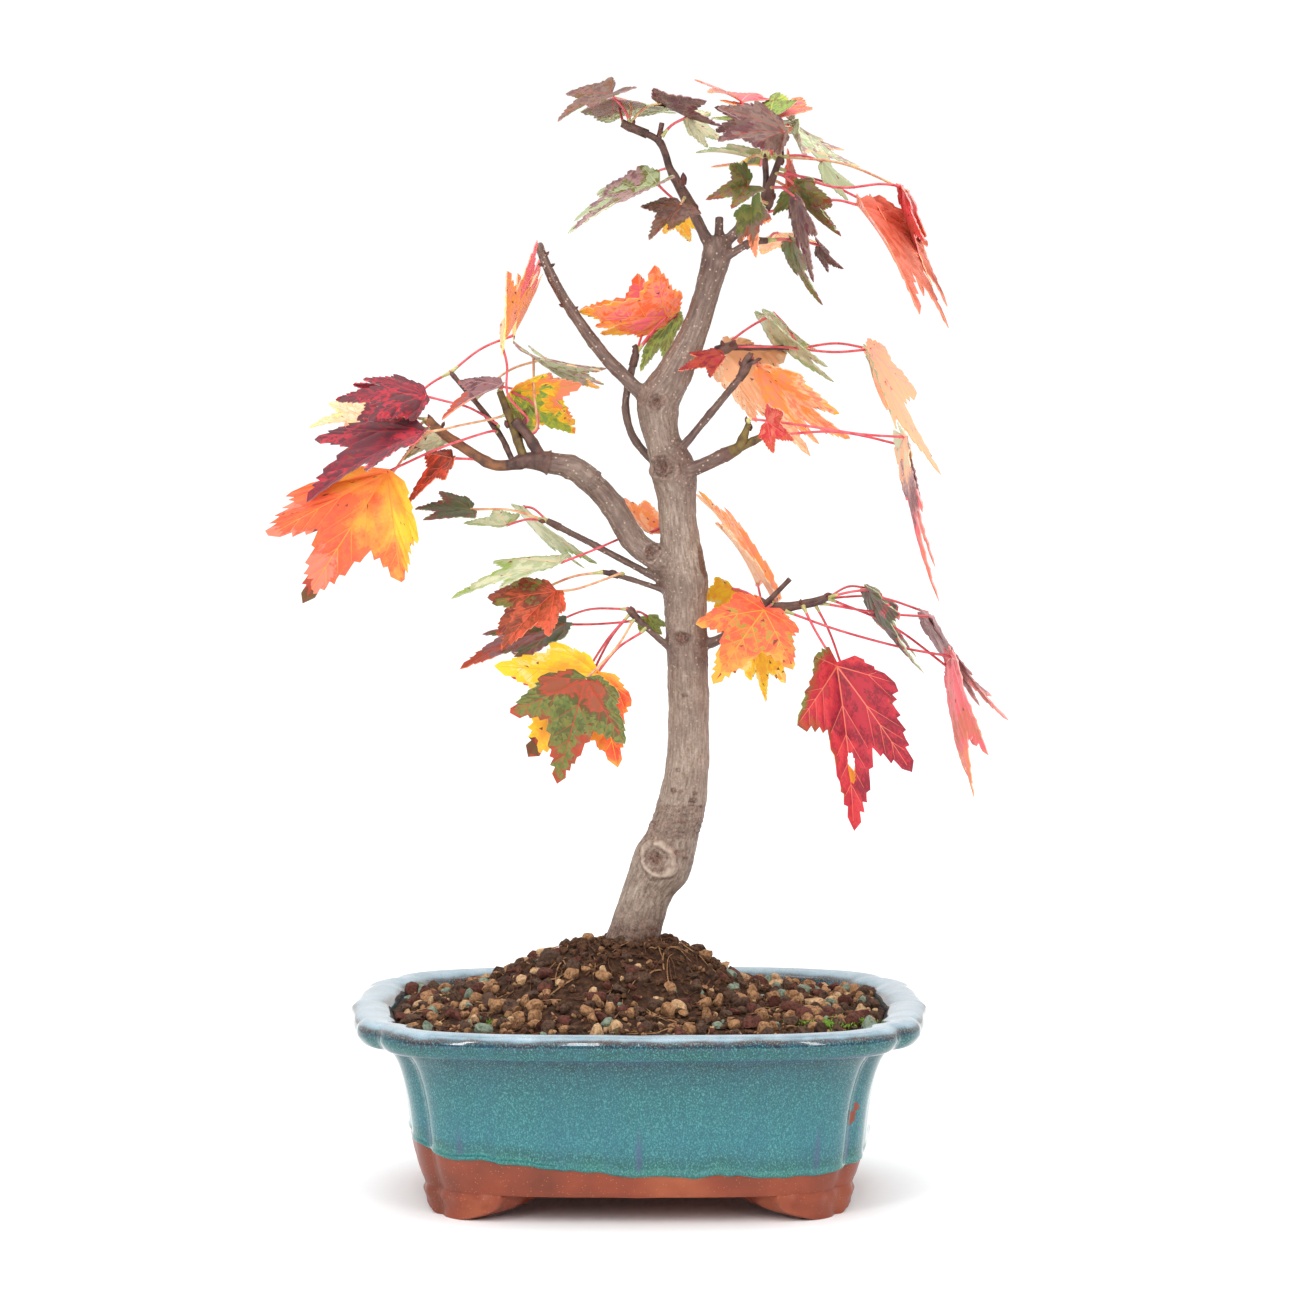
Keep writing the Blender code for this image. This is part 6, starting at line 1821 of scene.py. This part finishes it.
def backing_leaf(leaf, rng):
    """The leaf that stands behind a given one, a little smaller and turned otherwise."""
    base, tip, turn = leaf
    scale = rng.uniform(*BACKING_SCALE)
    depth = rng.uniform(*BACKING_DEPTH)
    drift = Vector((rng.uniform(-1, 1), 0, rng.uniform(-1, 1))) * BACKING_SPREAD
    middle = (base + tip) / 2 + Vector((0, depth, 0)) + drift
    half = (tip - base) / 2 * scale
    half.y = abs(half.y) + rng.uniform(0, BACKING_RISE)
    return middle - half, middle + half, turn + rng.uniform(-BACKING_TURN, BACKING_TURN)


def carrier_end(name):
    """The first two points of a stem, in line with its bough and a gap clear of the tip."""
    path = smooth_path(BOUGHS[name][0], BOUGH_STEP)
    way = (path[-1] - path[-2]).normalized()
    return [path[-1] + way * GAP, path[-1] + way * (GAP + STEM_LEAD)]


def stalk_lift(rng):
    """How far a stalk's arch leans, drawn for each leaf in the part's order."""
    return Vector((rng.uniform(-0.3, 0.3), rng.uniform(-0.3, 0.3), 1.0))


def grows(tree, leaf):
    """Whether the part has this leaf: the ones with no room were left out there."""
    base, tip, turn = leaf
    along, _, normal = leaf_frame(base, tip, turn)
    place = base + (tip - base).length * (along - normal * LEAF_DROOP)
    return tree.find(place)[2] < 0.6


def node_points(name):
    """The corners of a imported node, to look leaves up in."""
    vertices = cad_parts[name].data.vertices
    tree = KDTree(len(vertices))
    for k, vert in enumerate(vertices):
        tree.insert(vert.co / MM, k)
    tree.balance()
    return tree


def crown_plan():
    """Every mass's stem, shoots and leaves: the leading ones, and the ones that stand behind."""
    rng = random.Random(SEED)
    masses = {}
    for name, (carrier, _, _, points, twigs) in MASSES.items():
        points = [Vector(p) for p in points]
        if carrier != "trunk":
            points = carrier_end(carrier) + points
        stem = smooth_path(points, BOUGH_STEP)
        shoots = [smooth_path(twig, BOUGH_STEP) for twig in twigs]
        wood = stem[1:] + [p for shoot in shoots for p in shoot[1:]]
        leaves = []
        for base, tip, turn, finish, *seen in LEAVES[name]:
            shape = {key: places for key, places in zip(SEEN, seen) if places}
            leaves.append(((Vector(base), Vector(tip), turn), finish, shape))
        backing = []
        for leaf, finish, shape in leaves:
            if (leaf[1] - leaf[0]).length > BACKED_LEAF_LENGTH:
                behind = {"like": (leaf, shape)}
                if "hole" in shape:
                    behind["hole"] = BACKING_HOLE
                backing.append((backing_leaf(leaf, rng), BACKING_FINISH.get(finish, finish), behind))
        tree = node_points(name)
        grown = []
        for leaf, finish, shape in leaves + backing:
            base = leaf[0]
            root = min(wood, key=lambda p: (p - base).length)
            shoot = None
            if (base - root).length > LEAF_STALK_REACH:
                end = root.lerp(base, TWIG_SHARE)
                shoot = smooth_path((root, end), BOUGH_STEP)
                root = end
            lift = stalk_lift(rng)
            if "like" in shape and not grows(tree, leaf):
                continue
            if shoot:
                wood += shoot
            grown.append((leaf, finish, shape, root, lift, shoot))
        masses[name] = (stem, shoots, grown)
    return masses


def wood_middles(masses):
    """Middles of all the wood with its radius, for what grows on it."""
    path, radii = trunk_path(4)
    lines = list(zip(path, radii))
    for points, root, tip, _ in BOUGHS.values():
        path = smooth_path(points, 1.0)
        lines += zip(path, taper(path, root, tip))
    for name, (stem, shoots, grown) in masses.items():
        for line in [stem, *shoots, *(leaf[5] for leaf in grown if leaf[5])]:
            lines += [(p, MASSES[name][1]) for p in smooth_path(line, 1.0)]
    return lines


def grow_stem(twigs, carrier, radius, tan, stem, shoots, rng):
    """The stem that runs on from the bough, and its shoots, with swollen nodes."""
    lead = (stem[1] - stem[0]).normalized()
    path = smooth_path([stem[0] - lead * 2.0] + stem[1:], 1.0)
    root = radius if carrier == "trunk" else min(BOUGHS[carrier][2], radius * 1.7)
    slim = radius * 0.75
    radii = [slim + (root - slim) * max(0.0, 1 - k / 14) + radius * 0.25 * (1 - k / len(path))
             for k in range(len(path))]
    verts, faces = tube(path, radii, STEM_SIDES, knotted(rng, *NODES["stem"]))
    brown = BROWN_RINGS.get(tan, len(path)) * STEM_SIDES
    twigs.add(verts, faces, ["shoot" if min(face) < brown else tan for face in faces])
    for number, shoot in enumerate(shoots):
        path = smooth_path(shoot, 1.0)
        stout = bool(tan) and number == 0
        thick = SHOOT_RADII[stout]
        swell = knotted(rng, *NODES["shoot"])
        verts, faces = tube(path, taper(path, thick, thick * SHOOT_TAPER), SHOOT_SIDES, swell)
        twigs.add(verts, faces, "shoot_olive" if stout else "shoot")


def grow_stalk(stalks, wood_lines, root, base, shape, lift, radius, rng):
    """A leaf's stalk, along its way in the picture or arched by the rule, swollen at its foot."""
    if "stalk" in shape:
        points = [seen_at(*place) for place in shape["stalk"]] + [base]
        foot = wood_at(wood_lines, points[0])[0]
        if (foot - points[0]).length > STALK_GAP:
            points.insert(0, foot)
    else:
        arch = lift * PETIOLE_ARCH * (base - root).length
        points = [root, (root + base) / 2 + arch * 0.5, base]
    if len(points) == 2:
        points.insert(1, (points[0] + points[1]) / 2 + Vector((0, 0, 0.6)))
    path = smooth_path(points, 1.2)
    (low, low_rings), (high, high_rings) = STALK_SWELLS
    last = len(path) - 1
    radii = [radius * (1 + low * math.exp(-k / low_rings) + high * math.exp(-(last - k) / high_rings))
             for k in range(last + 1)]
    pale = rng.random() < PALE_STALKS
    verts, faces = tube(path, radii, STALK_SIDES)
    foot = min(3, len(path) - 2) * STALK_SIDES
    red = "stalk_pale" if pale else "stalk"
    finishes = ["stalk_foot" if max(face) < foot + STALK_SIDES and len(face) == 4 else red for face in faces]
    stalks.add(verts, faces, finishes)


def grow_bud(buds, place, way, size):
    """A pointed bud of overlapping scales."""
    path = [place + way * size * t for t in (-0.3, 0.0, 0.2, 0.45, 0.7, 0.9, 1.05)]
    radii = [size * r for r in (0.22, 0.30, 0.36, 0.36, 0.26, 0.13, 0.02)]
    verts, faces = tube(path, radii, 10)
    buds.add(verts, faces, "bud")


class MAPLE_OT_crown(Operator):
    """Twigs, buds, stalks and toothed autumn leaves, grown on from the limbs"""

    bl_idname = "maple.crown"
    bl_label = "Twigs and leaves"

    def execute(self, context):
        settings = context.scene.maple_leaf
        rng = random.Random(SEED + 3)
        tints = {}
        wood = {
            "shoot": twig_wood("maple_shoot_brown", "#6B4C42", "#412C28"),
            "shoot_tan": twig_wood("maple_shoot_tan", "#8A5A38", "#55382A"),
            "shoot_olive": twig_wood("maple_shoot_olive", "#75602F", "#4A3424"),
            "bud": twig_wood("maple_bud", "#6E3A34", "#38201E"),
            "stalk": twig_wood("maple_stalk_red", "#E26A70", "#C64550"),
            "stalk_pale": twig_wood("maple_stalk_pale", "#DDB98A", "#D07A62"),
            "stalk_foot": twig_wood("maple_stalk_foot", "#C7C084", "#9FA05E"),
        }
        twigs, stalks = Heap(), Heap()
        masses = crown_plan()
        wood_lines = wood_middles(masses)
        for name, (stem, shoots, grown) in masses.items():
            leaves = Heap()
            grow_stem(twigs, *MASSES[name][:3], stem, shoots, rng)
            for leaf, finish, shape, root, lift, shoot in grown:
                if shoot and "stalk" in shape:
                    stalks.add(*tube(shoot, taper(shoot, 0.62, 0.5), STALK_SIDES), "stalk")
                elif shoot:
                    path = smooth_path((shoot[0], shoot[-1] + (shoot[-1] - shoot[0]).normalized() * 1.5), 1.0)
                    swell = knotted(rng, *NODES["spur"])
                    twigs.add(*tube(path, taper(path, 1.15, 0.8), SPUR_SIDES, swell), "shoot")
                start = add_leaf(leaves, leaf, finish, shape, rng, settings, "like" not in shape)
                grow_stalk(stalks, wood_lines, root, start, shape, lift, settings.stalk_radius / MM, rng)
            for tint in leaves.names:
                tints[tint] = tints.get(tint) or leaf_tint(tint)
            piece = leaves.build(name.replace("foliage", "leaves"), tints, sharp=60)
            hand_over(piece, "foliage", name)
        for places, root, tip in TWIGS:
            points = [seen_at(*place) for place in places]
            foot = wood_at(wood_lines, points[0])[0]
            path = smooth_path([foot] + points[1:], 1.0)
            swell = knotted(rng, *NODES["twig"])
            twigs.add(*tube(path, taper(path, root, tip), SHOOT_SIDES, swell), "shoot")
            wood_lines += [(p, r) for p, r in zip(path, taper(path, root, tip))]
        buds = Heap()
        for place, way, size in BUDS:
            spot = seen_at(*place)
            heart, radius = wood_at(wood_lines, spot)
            way = Vector(way).normalized()
            if (spot - heart).length > radius:
                spot = heart + (spot - heart).normalized() * radius * 0.9
            grow_bud(buds, spot, way, size)
        hand_over(twigs.build("twigs", wood, sharp=50), "bark")
        hand_over(buds.build("buds", wood, sharp=50), "bark")
        hand_over(stalks.build("leaf_stalks", wood), "foliage")
        return {"FINISHED"}


# Floor, lights and camera


def paper_matt(colour):
    """Background paper, calendered and matt: pale, even, with a faint tooth."""
    material, tree, shader = new_material("paper_matt", {"Roughness": 0.9, "Specular IOR Level": 0.1})
    place = add_node(tree, "TexCoord", {}, out="Object")
    tooth = add_node(tree, "TexNoise", {"Scale": 300.0, "Detail": 2.0}, {"Vector": place})
    tone = add_node(tree, "Mix", {"data_type": "RGBA", 6: rgba(colour), 7: rgba("#FFFFFF")}, {0: tooth},
                    out=2)
    plug(tree, shader, {"Base Color": tone})
    return material


class MAPLE_OT_stage(Operator):
    """Pale floor, soft boxes, bright surroundings and the camera"""

    bl_idname = "maple.stage"
    bl_label = "Floor, light and camera"

    def execute(self, context):
        stage = context.scene.maple_stage
        scene = context.scene
        heap = Heap()
        corners = [(-4000, -3500, 0), (4000, -3500, 0), (4000, 4500, 0), (-4000, 4500, 0)]
        heap.add(corners, [(0, 1, 2, 3)], "paper")
        heap.build("floor", {"paper": paper_matt(tuple(stage.floor))})

        world = bpy.data.worlds.new("studio")
        world.use_nodes = True
        tree = world.node_tree
        tree.nodes.clear()
        way = add_node(tree, "TexCoord", {}, out="Generated")
        # The room is dim in front of the pot, and bright at the sides, above and behind it
        shares = []
        for axis, low, high, dim, bright in (("Y", -0.75, 0.15, 0.16, 1.0), ("Z", 0.15, 0.55, 0.0, 1.3)):
            rise = add_node(tree, "SeparateXYZ", {}, {"Vector": way}, out=axis)
            ends = {"From Min": low, "From Max": high, "To Min": dim, "To Max": bright}
            shares.append(add_node(tree, "MapRange", ends, {"Value": rise}))
        glow = add_node(tree, "Math", {"operation": "MAXIMUM"}, enumerate(shares))
        lit = add_node(tree, "Background", {"Color": (1.0, 1.0, 1.0, 1.0)}, {"Strength": glow})
        seen = add_node(tree, "Background", {"Color": (1.0, 1.0, 1.0, 1.0), "Strength": 1.05})
        eye = add_node(tree, "LightPath", {})
        both = add_node(tree, "MixShader", {}, {0: eye, 1: lit, 2: seen})
        add_node(tree, "OutputWorld", {}, {"Surface": both})
        scene.world = world
        scene.view_settings.view_transform = "Standard"

        boxes = (
            ("soft_box_left", (-1150, -1850, 1250), (150, 1600), stage.key),
            ("soft_box_right", (1100, -1850, 1250), (150, 1600), stage.fill),
            ("soft_box_front", (-60, -2050, 1350), (110, 1200), stage.key * 0.4),
            ("soft_box_top", (0, -300, 2100), (1700, 1300), stage.top),
        )
        for name, place, size, power in boxes:
            light = bpy.data.lights.new(name, "AREA")
            light.shape = "RECTANGLE"
            light.size, light.size_y = size[0] * MM, size[1] * MM
            light.energy = power
            lamp = bpy.data.objects.new(name, light)
            lamp.location = Vector(place) * MM
            lamp.rotation_euler = (Vector((0, 0, 180)) - Vector(place)).to_track_quat("-Z", "Y").to_euler()
            scene.collection.objects.link(lamp)

        camera = bpy.data.cameras.new("camera")
        camera.sensor_width = 36.0
        camera.sensor_fit = "HORIZONTAL"
        camera.angle = math.radians(CAMERA_ANGLE)
        camera.dof.use_dof = False
        camera.clip_end = 20.0
        eye = bpy.data.objects.new("camera", camera)
        eye.location = Vector(CAMERA_PLACE) * MM
        aim = Vector(CAMERA_AIM) - Vector(CAMERA_PLACE)
        eye.rotation_euler = aim.to_track_quat("-Z", "Y").to_euler()
        scene.collection.objects.link(eye)
        scene.camera = eye
        return {"FINISHED"}


class MAPLE_PT_panel(Panel):
    """Steps of the potted red maple, in order"""

    bl_idname = "MAPLE_PT_panel"
    bl_label = "Potted Red Maple"
    bl_space_type = "VIEW_3D"
    bl_region_type = "UI"
    bl_category = "Maple"

    def draw(self, context):
        scene = context.scene
        for step, settings in STEPS:
            column = self.layout.column(align=True)
            column.operator(step.bl_idname)
            if settings:
                group = getattr(scene, settings)
                for name in group.__annotations__:
                    column.prop(group, name)


STEPS = (
    (MAPLE_OT_stage, "maple_stage"), (MAPLE_OT_pot, "maple_pot"), (MAPLE_OT_soil, None),
    (MAPLE_OT_grit, "maple_soil"), (MAPLE_OT_trunk, "maple_bark"), (MAPLE_OT_crown, "maple_leaf"),
)
SETTINGS = (
    ("maple_pot", PotSettings), ("maple_soil", SoilSettings), ("maple_bark", BarkSettings),
    ("maple_leaf", LeafSettings), ("maple_stage", StageSettings),
)


def register():
    for name, group in SETTINGS:
        bpy.utils.register_class(group)
        setattr(bpy.types.Scene, name, PointerProperty(type=group))
    for step, _ in STEPS:
        bpy.utils.register_class(step)
    bpy.utils.register_class(MAPLE_PT_panel)


def unregister():
    bpy.utils.unregister_class(MAPLE_PT_panel)
    for step, _ in reversed(STEPS):
        bpy.utils.unregister_class(step)
    for name, group in reversed(SETTINGS):
        delattr(bpy.types.Scene, name)
        bpy.utils.unregister_class(group)


def main():
    register()
    for step, _ in STEPS:
        group, name = step.bl_idname.split(".")
        getattr(getattr(bpy.ops, group), name)()


if __name__ == "__main__":
    main()
